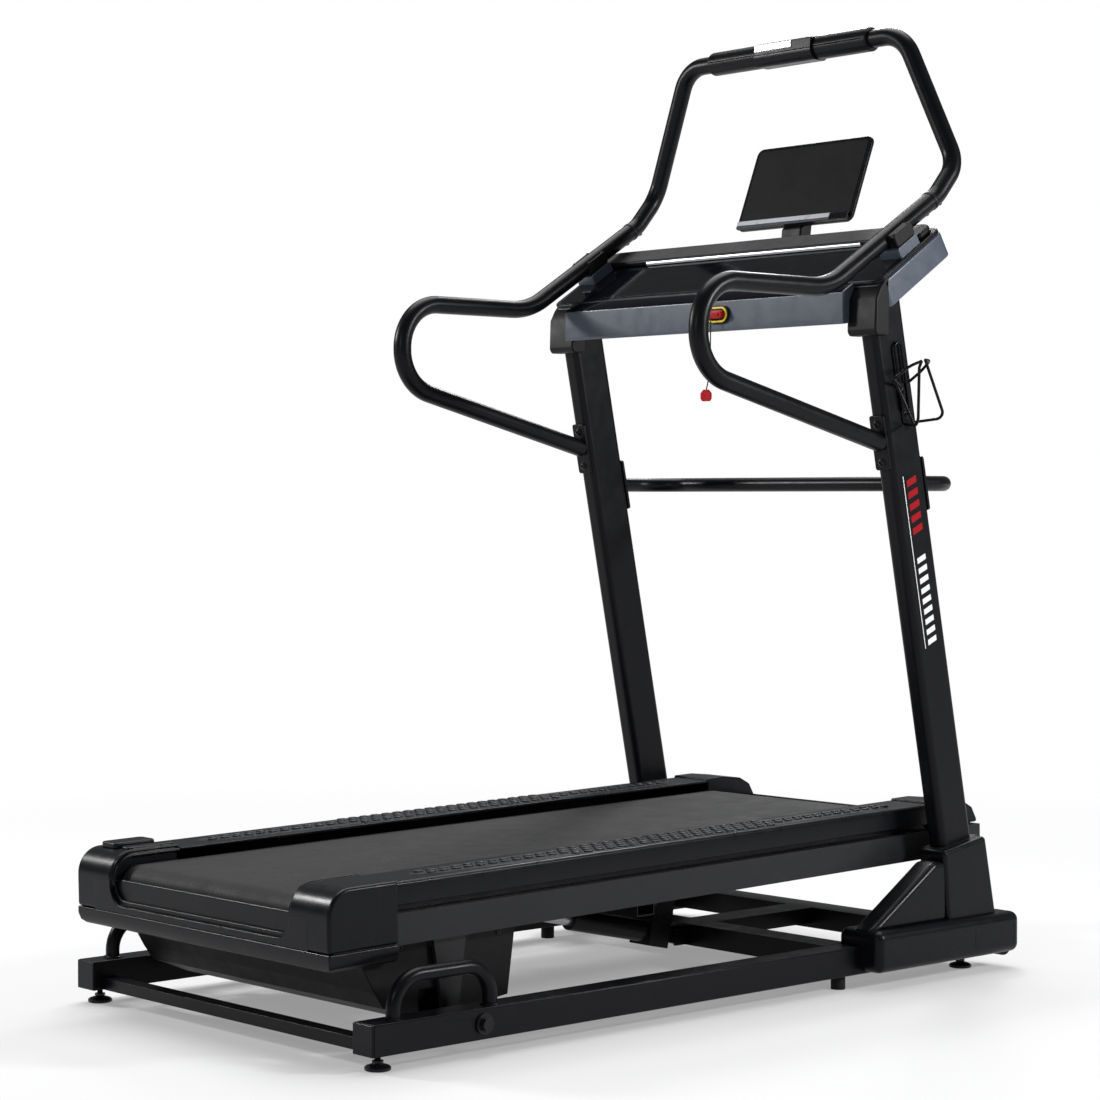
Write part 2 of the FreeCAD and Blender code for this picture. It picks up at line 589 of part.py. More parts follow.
def console():
    """A shallow tray that slopes up and away from the user, with a black fascia in it."""
    slope_back = "console_length"
    wall = "console_wall"
    tray = Piece("console_tray", place=CONSOLE)
    lip = [("0", "0"), ("-30", "-47"), ("0", "-61"), ("40", "-61"), ("40", "0")]
    tray.pad("x", "-front_lip_half_width", "front_lip_half_width", lip)
    tray.pad("x", "-console_half_width", "console_half_width",
             box("30", "-console_rise", slope_back, "0"))
    tray.fillet("10", along("z", lambda middle: abs(middle.x) > size("front_lip_half_width") + 9))
    inner_lip = [("4", "1"), ("-26", "-45"), ("1", "-58"), ("40", "-58"), ("40", "1")]
    tray.cut("x", "-front_lip_half_width + " + wall, "front_lip_half_width - " + wall, inner_lip)
    tray.cut("x", "-console_half_width + " + wall, "console_half_width - " + wall,
             box("30 + " + wall, "-console_rise + " + wall, slope_back + " - " + wall, "1"))
    for side in SIDES:
        low, high = span(side, "upright_inner_x - 1", "upright_inner_x + upright_width + 1")
        tray.cut("x", low, high, box("28", "-console_rise - 1", "112", "-console_rise + 24"))

    top = Piece("console_fascia", place=CONSOLE)
    inset = "fascia_half_width"
    top.pad("x", "-" + inset, inset,
            box("34", "-fascia_thickness", slope_back + " - 4", "0"))
    top.pad("x", "-front_lip_half_width + 4", "front_lip_half_width - 4",
            box("7", "-fascia_thickness", "34", "0"))
    band_start = slope_back + " - band_length"
    top.pad("x", "-" + inset, inset,
            [(band_start, "0"), (slope_back + " - 4", "0"), (slope_back + " - 4", "band_rise - 6"),
             (slope_back + " - 10", "band_rise"), (band_start + " + 8", "band_rise")])

    board = Piece("console_board", place=CONSOLE)
    board.pad("x", "-160", "160", box("52", "-30", "150", "-30 + board_thickness"))
    board.pad("x", "-40", "40", box("70", "-30 + board_thickness", "120", "-20"))
    for side in SIDES:
        post_low, post_high = span(side, "140", "150")
        board.pad("x", post_low, post_high, box("90", "-console_rise + " + wall, "100", "-30"))

    caps = Piece("corner_caps")
    for side in SIDES:
        low, high = span(side, "cap_inner_x", "cap_outer_x")
        caps.pad("x", low, high,
                 [("cap_rear_y", "cap_top_z - 4"), ("cap_rear_y", "cap_bottom_z"),
                  ("cap_rear_y + cap_depth - 16", "cap_bottom_z"),
                  ("cap_rear_y + cap_depth - 16", "cap_bottom_z + 22"),
                  ("cap_rear_y + 18", "cap_top_z + 4"), ("cap_rear_y + 10", "cap_top_z")])
    caps.fillet("7", along("z", lambda middle: middle.y < size("cap_rear_y") + 1))
    for side in SIDES:
        low, high = span(side, "upright_inner_x - 0.3", "upright_inner_x + upright_width + 0.3")
        caps.cut("x", low, high, leaning_slot("cap_bottom_z - 20", "cap_top_z - 12", "0.3"))

    handlebar_clamps()


def handlebar_clamps():
    """Blocks on the console's top, bored for the bars that lie in them."""
    joint, bend = point("bar_x", "joint_y", "joint_z"), point("bar_x", "grip_end_y", "grip_z")
    run = joint - bend
    length, inner = size("clamp_length"), size("clamp_inner_x")
    block = Part.makeBox(size("clamp_outer_x") - inner, length, size("clamp_rise"),
                         Vector(inner, size("clamp_start"), 0))
    block.rotate(Vector(), Vector(1, 0, 0), size("console_slope"))
    block.translate(point(0, "console_front_y", "console_front_z"))
    block = block.cut(Part.makeCylinder(size("bar_radius") + 0.05, run.Length, bend, run))
    feature_shape("handlebar_clamps", Part.makeCompound([block, mirrored(block)]))


def tablet_holder():
    holder = Piece("tablet_holder", place=("0", "tablet_bottom_y", "tablet_bottom_z",
                                           "-tablet_tilt"))
    holder.pad("x", "-tablet_half_width", "tablet_half_width",
               box("0", "0", "tablet_thickness", "tablet_height"))
    holder.fillet("15", along("y"))
    holder.pad("x", "-tablet_half_width + 12", "tablet_half_width - 12",
               box("-tablet_ledge", "4", "0", "10"))
    holder.pad("x", "-neck_half_width", "neck_half_width",
               [("-12", "-78"), ("13", "-88"), ("56", "-10"), ("30", "48"),
                ("tablet_thickness", "72"), ("tablet_thickness", "24"), ("33", "-8"),
                ("0", "-68")])


def safety_key():
    """An oval magnetic socket in the console's front face, its key, and the key's lanyard."""
    face = "console_front_y"
    socket = Piece("key_socket")
    oval(socket, "%s - 7" % face, "%s - 0.1" % face, "0")
    oval(socket, "%s - 7" % face, "%s - 3" % face, "5", cutting=True)
    key = Piece("safety_key")
    oval(key, "%s - 18" % face, "%s - 3.2" % face, "5.4")


def oval(piece, y_low, y_high, inset, cutting=False):
    """A flat-sided oval along Y, centred on the key, its outline drawn in by an inset."""
    work = piece.cut if cutting else piece.pad
    radius = "key_socket_radius - %s" % inset
    for x in ("key_x - key_socket_half", "key_x + key_socket_half"):
        work("y", y_low, y_high, ((x, "key_z"), radius))
    work("y", y_low, y_high, box("key_x - key_socket_half", "key_z - (%s)" % radius,
                                 "key_x + key_socket_half", "key_z + (%s)" % radius))


def lanyard():
    """The cord hangs from the key's underside, almost straight, to its clip."""
    x, z = size("key_x") - 7, size("key_z") - size("key_socket_radius") + 5.4
    y = size("console_front_y") - 14
    route = [Vector(x, y, z), Vector(x + 0.6, y - 0.8, z - 14), Vector(x - 0.4, y - 0.4, z - 40),
             Vector(x + 0.8, y - 1.6, z - 84), Vector(x - 3, y - 3.4, z - 118),
             Vector(x - 7, y - 5, z - 134)]
    bends = []
    for before, corner, after in zip(route, route[1:], route[2:]):
        shorter = min((corner - before).Length, (after - corner).Length)
        turn = (corner - before).getAngle(after - corner)
        bends.append(0.45 * shorter / math.tan(turn / 2))
    cord = tube(route, bends, size("lanyard_radius"))
    feature_shape("lanyard_cord", cord)
    end = route[-1]
    slider = Part.makeCylinder(4, 12, Vector(x + 0.3, y - 1.4, z - 78), Vector(0, 0, 1))
    slider = slider.cut(cord)
    jaw = Part.makeBox(17, 6, 22, Vector(end.x - 9, end.y - 3, end.z - 22))
    feature_shape("lanyard_clip", Part.makeCompound([jaw, slider]))


def bottle_cage():
    """A bent-wire cage on the outside of the right upright."""
    wire = size("cage_wire_radius")
    lean = math.radians(size("upright_lean"))
    up = Vector(0, -math.sin(lean), math.cos(lean))
    side = Vector(0, math.cos(lean), math.sin(lean))
    out = Vector(1, 0, 0)
    height, half, depth = size("cage_height"), size("cage_half_width"), size("cage_depth")
    thick = size("cage_plate_thickness")
    face = size("upright_inner_x") + size("upright_width")
    foot = Vector(face, upright_face(size("cage_z")), size("cage_z")) + side * (half + 6)

    def at(outward, sideways, upward):
        return foot + out * outward + side * sideways + up * upward
    hug = thick + wire - 0.6
    plate = Part.makeBox(thick, 18, height * 0.62)
    plate.rotate(Vector(), Vector(1, 0, 0), size("upright_lean"))
    plate.translate(at(0, -9, 6))
    back = tube([at(hug, -12, 2), at(hug, -12, height), at(hug, 12, height), at(hug, 12, 2)],
                [10, 10], wire)
    base = tube([at(hug, -12, 2), at(depth * 0.5, -half, 2), at(depth, -half * 0.6, 0),
                 at(depth, half * 0.6, 0), at(depth * 0.5, half, 2), at(hug, 12, 2)],
                [12, 12, 12, 12], wire)
    hoop = tube([at(hug, -10, height * 0.42), at(depth * 0.42, -half, height * 0.44),
                 at(depth * 0.92, -half * 0.7, height * 0.6),
                 at(depth * 0.92, half * 0.7, height * 0.6),
                 at(depth * 0.42, half, height * 0.44), at(hug, 10, height * 0.42)],
                [10, 12, 12, 10], wire)
    arms = [tube([at(depth * 0.86, sign * half * 0.78, height * 0.57),
                  at(depth * 0.9, sign * half * 0.76, height * 0.3),
                  at(depth * 0.86, sign * half * 0.8, 2)], [60], wire) for sign in (-1, 1)]
    cage = plate.multiFuse([back, base, hoop] + arms).removeSplitter()
    feature_shape("bottle_cage", cage)
    return [Part.makeCone(4.5, 3, 2.5, at(thick, 0, rise), out) for rise in (20, 62)]


# ---- deck -------------------------------------------------------------------------------------
roller_w = "belt_top - belt_thickness - roller_radius"
board_top = "belt_top - belt_thickness"
member_top = "belt_top - belt_thickness - board_depth - cushion_rise"
MEMBERS = ("-80", "360", "740", "1060")
MOTOR_MEMBERS = ("-58", "42")
LIFT_MEMBER = "403"


def deck_feature(label, shape):
    """A free-form sub-part drawn in the deck's own v and w."""
    item = feature_shape(label, shape)
    item.Placement = FreeCAD.Placement(
        point(0, "pivot_y", "pivot_z"), FreeCAD.Rotation(Vector(1, 0, 0), size("deck_tilt")))


def deck_frame():
    inner = "deck_rail_outer_x - deck_rail_width"
    for side in SIDES:
        rail = Piece("deck_rail_" + side, on_deck=True)
        low, high = span(side, inner, "deck_rail_outer_x")
        rail.pad("x", low, high, box("deck_rear_v", "deck_rail_low", "deck_front_v",
                                     "deck_rail_low + deck_rail_rise"))
        rail.cut("x", low + " + 2", high + " - 2",
                 box("deck_rear_v - 1", "deck_rail_low + 2", "deck_front_v + 1",
                     "deck_rail_low + deck_rail_rise - 2"))
        # the pivot bracket hangs from the rail and carries the bush
        low, high = span(side, inner, inner + " + bracket_thickness")
        rail.pad("x", low, high,
                 [("-bracket_half_length", "deck_rail_low"), ("-14", "-6"), ("14", "-6"),
                  ("bracket_half_length", "deck_rail_low")])
        low, high = span(side, inner, rail_inner + " - 0.5")
        rail.pad("x", low, high, (("0", "0"), "pivot_radius * 2"))
        rail.cut("x", "%s - 1" % low, "%s + 1" % high,
                 (("0", "0"), "pivot_radius + pivot_clearance"))
        low, high = span(side, inner + " - axle_plate_thickness", inner)
        for v in ("rear_roller_v", "front_roller_v"):
            rail.pad("x", low, high, box(v + " - 18", "deck_rail_low + 10", v + " + 18",
                                         roller_w + " + 18"))
            rail.cut("x", "%s - 1" % low, "%s + 0.5" % high if side == "right" else high,
                     ((v, roller_w), "roller_axle_radius + 0.1"))

    members = Piece("deck_cross_members", on_deck=True)
    for v in MEMBERS:
        members.pad("x", "-(%s)" % inner, inner,
                    box(v, member_top + " - member_rise", v + " + member_depth", member_top))
        members.cut("x", "-(%s)" % inner, inner,
                    box(v + " + 2", member_top + " - member_rise + 2", v + " + member_depth - 2",
                        member_top + " - 2"))
    # two members hang inside the pan and carry the motor, one under the rails takes the lift
    reach = [(v, "hanger_outer_x") for v in MOTOR_MEMBERS] + [(LIFT_MEMBER, inner + " + 18")]
    for v, half in reach:
        members.pad("x", "-(%s)" % half, half,
                    box(v, "under_member_low", v + " + member_depth", "deck_rail_low"))
        members.cut("x", "-(%s)" % half, half,
                    box(v + " + 2", "under_member_low + 2", v + " + member_depth - 2",
                        "deck_rail_low - 2"))
    for v in MOTOR_MEMBERS:
        for side in SIDES:
            members.pad("x", *span(side, "hanger_outer_x - 14", "hanger_outer_x"),
                        box(v, "under_member_low", v + " + member_depth", "hanger_top"))
            members.pad("x", *span(side, "hanger_outer_x - 14", inner),
                        box(v, "cover_split + 2", v + " + member_depth", "hanger_top"))

    # the actuator's upper pin, in the deck's v and w
    forward, rise = "(lift_deck_y - pivot_y)", "(lift_deck_z - pivot_z)"
    turn = "(deck_tilt * 1deg)"
    pin_v = "%s * cos%s + %s * sin%s" % (forward, turn, rise, turn)
    pin_w = "%s * cos%s - %s * sin%s" % (rise, turn, forward, turn)
    lugs(members, pin_v, pin_w, pin_v + " + 14", pin_w + " - 14", "under_member_low + 1")


def lugs(piece, y, z, reach_y, z_low, z_high):
    """Two lugs and the pin through them, held by one of the frames."""
    for side in SIDES:
        piece.pad("x", *span(side, "lift_lug_gap", "lift_lug_gap + lift_lug_thickness"),
                  box("%s - 14" % y, z_low, reach_y, z_high))
    piece.pad("x", "-lift_lug_gap - lift_lug_thickness - 3",
              "lift_lug_gap + lift_lug_thickness + 3", ((y, z), "lift_pin_radius"))


def lift_actuator():
    """A screw actuator: motor and outer tube on the base pin, rod up to the deck pin."""
    angle = "atan2(lift_base_y - lift_deck_y; lift_deck_z - lift_base_z)"
    place = ("0", "lift_base_y", "lift_base_z", angle)
    reach = math.hypot(size("lift_base_y") - size("lift_deck_y"),
                       size("lift_deck_z") - size("lift_base_z"))
    eye = "lift_lug_gap - 0.5"
    motor = Piece("lift_motor", place=place)
    motor.pad("x", "-(%s)" % eye, eye, (("0", "0"), "14"))
    motor.pad("x", "-12", "12", box("-12", "6", "12", "40"))
    motor.pad("x", "-26", "26", box("-24", "34", "82", "84"))
    motor.cut("x", "-(%s) - 1" % eye, eye + " + 1",
              (("0", "0"), "lift_pin_radius + pivot_clearance"))
    motor.pad("z", "84", "270", (("0", "0"), "lift_tube_radius"))
    motor.pad("z", "84", "196", (("0", "52"), "lift_motor_radius"))
    motor.cut("z", "108", "271", (("0", "0"), "lift_rod_radius + pivot_clearance"))

    rod = Piece("lift_rod", place=place)
    rod.pad("z", "130", str(round(reach - 12, 2)), (("0", "0"), "lift_rod_radius"))
    rod.pad("x", "-10", "10", (("0", str(round(reach, 2))), "17"))
    rod.cut("x", "-11", "11",
            (("0", str(round(reach, 2))), "lift_pin_radius + lift_eye_clearance"))


def walking_surface():
    board = Piece("deck_board", on_deck=True)
    board.pad("x", "-board_half_width", "board_half_width",
              box("board_rear_v", board_top + " - board_depth", "board_front_v", board_top))
    cushions = Piece("deck_cushions", on_deck=True)
    places = [((x, v + " + member_depth / 2"), "cushion_radius")
              for v in MEMBERS for x in ("-220", "220")]
    cushions.pad("z", member_top, member_top + " + cushion_rise", *places)

    belt = Piece("walking_belt", on_deck=True)
    ends = ("rear_roller_v", "front_roller_v")
    for work, radius in ((belt.pad, "roller_radius + belt_thickness"),
                         (belt.cut, "roller_radius + belt_gap")):
        low, high = "-belt_half_width", "belt_half_width"
        if work == belt.cut:
            low, high = low + " - 1", high + " + 1"
        for v in ends:
            work("x", low, high, ((v, roller_w), radius))
        work("x", low, high, box(ends[0], roller_w + " - (%s)" % radius, ends[1],
                                 roller_w + " + %s" % radius))

    for side in SIDES:
        rail = Piece("foot_rail_" + side, on_deck=True)
        top, thick = "foot_rail_top", "foot_rail_thickness"
        v_low, v_high = "foot_rail_rear_v", "foot_rail_front_v"
        rail.pad("x", *span(side, "foot_rail_inner_x", "foot_rail_outer_x"),
                 box(v_low, top + " - " + thick, v_high, top))
        rail.pad("x", *span(side, "foot_rail_outer_x - 4", "foot_rail_outer_x"),
                 box(v_low, top + " - foot_rail_skirt", v_high, top))
        rail.pad("x", *span(side, "foot_rail_inner_x", "foot_rail_inner_x + 4"),
                 box(v_low, "belt_top + 3", v_high, top))
        rail.pad("x", *span(side, "foot_rail_outer_x - 13", "foot_rail_outer_x - 9"),
                 box(v_low, "deck_rail_low + deck_rail_rise", v_high, top))
        rail.fillet("2.5", along("y", lambda middle: middle.z > size("foot_rail_top") - 0.1 and
                                 abs(middle.x) > size("foot_rail_outer_x") - 0.1))


def covers():
    wall = "cover_wall"
    rear, front, split = "cover_rear_v", "cover_front_v", "cover_split"
    cover = Piece("rear_cover", on_deck=True)
    for side in SIDES:
        cover.pad("x", *span(side, "cover_inner_x", "cover_outer_x"),
                  box(rear, split, front, "cover_top"))
    cover.fillet("cover_corner", along("x", lambda middle: middle.y < size("cover_rear_v") + 1 and
                                       middle.z > size("cover_top") - 1))
    cover.pad("x", "-cover_inner_x - 1", "cover_inner_x + 1",
              box(rear, split, rear + " + beam_depth", "beam_top"))
    cover.cut("x", "-cover_inner_x", "cover_inner_x",
              box(rear + " - 1", "beam_step", rear + " + beam_depth - 4", "beam_top + 1"))
    for side in SIDES:
        cover.cut("x", *span(side, "cover_inner_x + " + wall, "cover_outer_x - " + wall),
                  [(rear + " + " + wall, split + " - 1"), (front + " + 1", split + " - 1"),
                   (front + " + 1", "cover_top - " + wall),
                   (rear + " + cover_corner", "cover_top - " + wall),
                   (rear + " + " + wall + " + 13", "cover_top - 16"),
                   (rear + " + " + wall, "cover_top - cover_corner")])
        cover.cut("x", *span(side, "cover_inner_x - 1", "cover_inner_x + " + wall + " + 1"),
                  (("rear_roller_v", roller_w), "roller_axle_radius + 14"))

    lower = Piece("rear_cover_lower", on_deck=True)
    lower.pad("x", "-cover_outer_x", "cover_outer_x",
              [(rear, split), (rear + " + 14", "cover_low"), (front, "cover_low"),
               (front, split)])
    lower.cut("x", "-cover_outer_x + " + wall, "cover_outer_x - " + wall,
              [(rear + " + " + wall, split + " + 1"), (rear + " + 16", "cover_low + " + wall),
               (front + " + 1", "cover_low + " + wall), (front + " + 1", split + " + 1")])
    lower.cut("x", "roller_pulley_x - 16", "roller_pulley_x + 16",
              box("-200", "cover_low - 1", front + " + 1", "cover_low + " + wall + " + 1"))

    caps = Piece("deck_end_caps", on_deck=True)
    caps.pad("x", "-cover_outer_x + 22", "-cover_outer_x + 66",
             box(rear + " + 36", "cover_top", "-140", "cover_top + rear_cap_rise"))
    for side in SIDES:
        caps.pad("x", *span(side, "foot_rail_inner_x", "foot_rail_outer_x"),
                 [("foot_rail_front_v - 26", "foot_rail_top"),
                  ("foot_rail_front_v", "foot_rail_top"),
                  ("foot_rail_front_v", "belt_top + 3"),
                  ("deck_front_v - 10", "belt_top + 3"), ("deck_front_v", "belt_top + 6"),
                  ("deck_front_v - 40", "foot_rail_top + front_cap_rise"),
                  ("foot_rail_front_v - 22", "foot_rail_top + front_cap_rise")])
        caps.pad("x", *span(side, "belt_half_width + 20", "foot_rail_outer_x"),
                 [("deck_front_v + 1", "belt_top + 3.1"), ("deck_front_v - 28", "belt_top + 3.1"),
                  ("deck_front_v - 28", "deck_rail_low + deck_rail_rise + 2"),
                  ("deck_front_v + 1", "deck_rail_low + deck_rail_rise + 2")])

    # a sheet across the front covers the front roller
    caps.pad("x", "-pan_half_width", "pan_half_width",
             [("1202", "188"), ("1290", "178"), ("1298", "164"), ("1298", "deck_rail_low + 3"),
              ("1295", "deck_rail_low + 3"), ("1295", "163"), ("1288", "175"), ("1202", "185")])

    pan = Piece("motor_pan", on_deck=True)
    half = "pan_half_width"
    pan.pad("x", "-" + half, half,
            [(front, split + " - 1"), (front, "cover_low - 0.5"), ("-172", "cover_low - 0.5"),
             ("-146", "56"), ("-128", "29"), ("-58", "pan_low"), ("129", "pan_low + 18"),
             ("148", split + " - 1")])
    pan.cut("x", "-%s + pan_wall" % half, half + " - pan_wall",
            [(front + " + 3", split + " + 1"), (front + " + 3", "cover_low + 5"),
             ("-169", "cover_low + 5"), ("-142.5", "57.5"), ("-125.5", "31.5"),
             ("-57", "pan_low + 3.2"), ("126.5", "pan_low + 21"), ("145", split + " + 1")])
    for side in SIDES:
        pan.cut("x", *span(side, half + " - pan_wall - 1", half + " + 1"),
                box("-57", "14", "22", "49"))
    pan.cut("x", "inlet_x - inlet_width / 2", "inlet_x + inlet_width / 2",
            box("118", "inlet_low", "150", "inlet_low + inlet_rise"))


def drive():
    for label, v in (("drive_roller", "rear_roller_v"), ("front_roller", "front_roller_v")):
        roller = Piece(label, on_deck=True)
        centre = (v, roller_w)
        roller.pad("x", "-roller_half_length", "roller_half_length", (centre, "roller_radius"))
        if label == "drive_roller":
            roller.pad("x", "roller_pulley_x - pulley_width / 2", "-roller_half_length",
                       (centre, "roller_axle_radius + 6"))
            roller.pad("x", "roller_pulley_x - pulley_width / 2",
                       "roller_pulley_x + pulley_width / 2", (centre, "roller_pulley_radius"))
        roller.cut("x", "-roller_half_length - 60", "roller_half_length + 1",
                   (centre, "roller_axle_radius + pivot_clearance"))
        axle_bore = "roller_radius - 4"
        roller.cut("x", "-roller_half_length + 12", "roller_half_length - 12",
                   (centre, axle_bore))
    axles = Piece("roller_axles", on_deck=True)
    for v in ("rear_roller_v", "front_roller_v"):
        axles.pad("x", "-roller_axle_half", "roller_axle_half",
                  ((v, roller_w), "roller_axle_radius"))

    shaft = ("motor_v", "motor_w")
    left, right = "motor_x - motor_half_length", "motor_x + motor_half_length"
    housing = Piece("motor_housing", on_deck=True)
    housing.pad("x", left, right, (shaft, "motor_radius"))
    housing.pad("x", left + " + 20", right + " - 20",
                box(MOTOR_MEMBERS[0] + " + 4", "under_member_low - 8",
                    MOTOR_MEMBERS[1] + " + member_depth - 4", "under_member_low"))
    housing.cut("x", left + " + 8", right + " - 8", (shaft, "motor_radius - 14"))
    housing.cut("x", left + " - 1", right + " + 1", (shaft, "motor_shaft_radius + 0.06"))

    rotor = Piece("motor_rotor", on_deck=True)
    rotor.pad("x", "roller_pulley_x - pulley_width / 2", right + " - 2",
              (shaft, "motor_shaft_radius"))
    rotor.pad("x", left + " + 14", right + " - 14", (shaft, "motor_radius - 15"))
    rotor.pad("x", "roller_pulley_x - pulley_width / 2", "roller_pulley_x + pulley_width / 2",
              (shaft, "motor_pulley_radius"))
    rotor.pad("x", left + " - 30", left + " - 14", (shaft, "flywheel_radius"))

    board = Piece("controller_board", on_deck=True)
    board.pad("x", "40", "240", box("-90", "30", "60", "32"))
    board.pad("x", "60", "110", box("-80", "32", "40", "70"))
    board.pad("x", "130", "150", box("-60", "32", "-20", "64"))
    board.pad("z", "32", "66", (("190", "0"), "16"))
    for x in ("50", "220"):
        board.pad("x", x, x + " + 8", box("-54", "pan_low + 4.6", "-46", "30"))

    deck_feature("drive_belt", belt_loop())
    inlet = Piece("power_inlet", on_deck=True)
    low, high = "inlet_x - inlet_width / 2 + 0.5", "inlet_x + inlet_width / 2 - 0.5"
    inlet.pad("x", low, high, box("112", "inlet_low + 0.5", "137", "inlet_low + inlet_rise - 0.5"))
    inlet.cut("x", "inlet_x - 34", "inlet_x - 4", box("120", "inlet_low + 6", "138",
                                                       "inlet_low + inlet_rise - 6"))
    inlet.cut("x", "inlet_x + 8", "inlet_x + 30", box("126", "inlet_low + 4", "138",
                                                      "inlet_low + inlet_rise - 4"))
    middle = "inlet_low + inlet_rise / 2"
    inlet.cut("x", "inlet_x + 5", "inlet_x + 33", (("131.5", middle), "2.06"))
    rocker = Piece("power_switch", on_deck=True)
    rocker.pad("x", "inlet_x + 6", "inlet_x + 32", (("131.5", middle), "2"))
    rocker.pad("x", "inlet_x + 9", "inlet_x + 29",
               [("131", middle + " - 11"), ("137", middle + " - 11"), ("139", middle + " - 10"),
                ("137.5", middle), ("140", middle + " + 10"), ("131", middle + " + 11")])


def belt_loop():
    """The ribbed drive belt: tangent to both pulleys, drawn in v and w."""
    roller_axis = size("belt_top") - size("belt_thickness") - size("roller_radius")
    rear = Vector(0, size("rear_roller_v"), roller_axis)
    motor = Vector(0, size("motor_v"), size("motor_w"))
    reach = motor - rear
    heading = math.atan2(reach.z, reach.y)
    big, small = size("roller_pulley_radius"), size("motor_pulley_radius")
    x_low = size("roller_pulley_x") - size("pulley_width") / 2 + 1

    def loop(gap):
        lead = math.acos((big - small) / reach.Length)
        upper, lower = heading + lead, heading - lead

        def rim(centre, radius, angle):
            outward = Vector(0, math.cos(angle), math.sin(angle)) * (radius + gap)
            return centre + Vector(x_low, 0, 0) + outward
        far, near = heading + math.pi, heading
        edges = [Part.LineSegment(rim(rear, big, upper), rim(motor, small, upper)).toShape(),
                 Part.Arc(rim(motor, small, upper), rim(motor, small, near),
                          rim(motor, small, lower)).toShape(),
                 Part.LineSegment(rim(motor, small, lower), rim(rear, big, lower)).toShape(),
                 Part.Arc(rim(rear, big, lower), rim(rear, big, far),
                          rim(rear, big, upper)).toShape()]
        return Part.Face(Part.Wire(edges))
    width = Vector(size("pulley_width") - 2, 0, 0)
    return loop(3).extrude(width).cut(loop(0.4).extrude(width))


base_frame()
uprights()
boots()
transport_wheels()
axle_bolts()
handrails()
arch()
cross_bar()
dome_bolts(bottle_cage())
control_grip()
console()
tablet_holder()
safety_key()
lanyard()
deck_frame()
walking_surface()
covers()
drive()
lift_actuator()
doc.recompute()

for item in doc.Objects:
    if "Invalid" in item.State or "Error" in item.State:
        raise RuntimeError("%s failed: %s" % (item.Name, item.State))
os.makedirs("parts", exist_ok=True)
for item in SUBPARTS:
    shape = item.Shape
    if shape.isNull() or not shape.isValid():
        raise RuntimeError("%s has a bad shape" % item.Label)
    shape.exportStep("parts/%s.step" % item.Label)
    edge_box = shape.BoundBox
    print("%-26s %2d solids  %s .. %s" % (
        item.Label, len(shape.Solids),
        [round(v) for v in (edge_box.XMin, edge_box.YMin, edge_box.ZMin)],
        [round(v) for v in (edge_box.XMax, edge_box.YMax, edge_box.ZMax)]))
print(len(SUBPARTS), "sub-parts")
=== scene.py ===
import math

import bmesh
import bpy
from mathutils import Matrix, Vector


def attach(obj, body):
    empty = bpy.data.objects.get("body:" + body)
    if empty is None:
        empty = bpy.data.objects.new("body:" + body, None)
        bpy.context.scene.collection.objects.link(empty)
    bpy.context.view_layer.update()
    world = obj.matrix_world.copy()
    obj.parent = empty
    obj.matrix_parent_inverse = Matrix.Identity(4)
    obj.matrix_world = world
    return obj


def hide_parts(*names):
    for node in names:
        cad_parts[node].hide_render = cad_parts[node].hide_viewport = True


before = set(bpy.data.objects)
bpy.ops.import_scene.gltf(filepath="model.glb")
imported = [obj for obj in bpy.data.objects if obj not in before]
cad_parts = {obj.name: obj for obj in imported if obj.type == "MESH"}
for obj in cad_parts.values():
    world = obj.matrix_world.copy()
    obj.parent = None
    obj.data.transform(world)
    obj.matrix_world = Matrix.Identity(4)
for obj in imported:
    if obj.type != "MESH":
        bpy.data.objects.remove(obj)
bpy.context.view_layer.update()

MM = 0.001
IDENTITY = Matrix.Identity(4)


def placed(y, z, degrees):
    """A plane frame in millimetres: moved to y and z, then tilted about X."""
    return (Matrix.Translation((0, y, z)) @ Matrix.Rotation(math.radians(degrees), 4, "X"))


DECK = placed(-513, 50, 1.163)
CONSOLE = placed(371, 1244, 32.6)
LEAN = 11.61
UPRIGHT = placed(630.3, 75, LEAN)
TABLET = placed(633, 1406, -21.6)


# ---- materials --------------------------------------------------------------------------------
def new_material(name):
    material = bpy.data.materials.new(name)
    material.use_nodes = True
    tree = material.node_tree
    return material, tree, tree.nodes["Principled BSDF"]


def noise(tree, scale, detail=4.0, roughness=0.55):
    """A noise texture in object space, where one unit is a metre."""
    coordinates = tree.nodes.new("ShaderNodeTexCoord")
    texture = tree.nodes.new("ShaderNodeTexNoise")
    texture.inputs["Scale"].default_value = scale
    texture.inputs["Detail"].default_value = detail
    texture.inputs["Roughness"].default_value = roughness
    tree.links.new(coordinates.outputs["Object"], texture.inputs["Vector"])
    return texture.outputs["Fac"]


def ranged(tree, value, low, high):
    """The value, 0 to 1, spread from low to high."""
    spread = tree.nodes.new("ShaderNodeMapRange")
    spread.inputs["From Min"].default_value = 0.3
    spread.inputs["From Max"].default_value = 0.7
    spread.inputs["To Min"].default_value = low
    spread.inputs["To Max"].default_value = high
    tree.links.new(value, spread.inputs["Value"])
    return spread.outputs["Result"]


def tinted(tree, value, dark, light):
    """A colour between two, by a value. The Mix node's sockets are found by their numbers."""
    mix = tree.nodes.new("ShaderNodeMix")
    mix.data_type = "RGBA"
    factor, first, second, result = mix.inputs[0], mix.inputs[6], mix.inputs[7], mix.outputs[2]
    first.default_value, second.default_value = (*dark, 1), (*light, 1)
    tree.links.new(value, factor)
    return result


def bumped(tree, shader, height, strength, distance):
    bump = tree.nodes.new("ShaderNodeBump")
    bump.inputs["Strength"].default_value = strength
    bump.inputs["Distance"].default_value = distance
    tree.links.new(height, bump.inputs["Height"])
    tree.links.new(bump.outputs["Normal"], shader.inputs["Normal"])


GRAIN_DEPTH, WEAVE_DEPTH = 0.0002, 0.0006


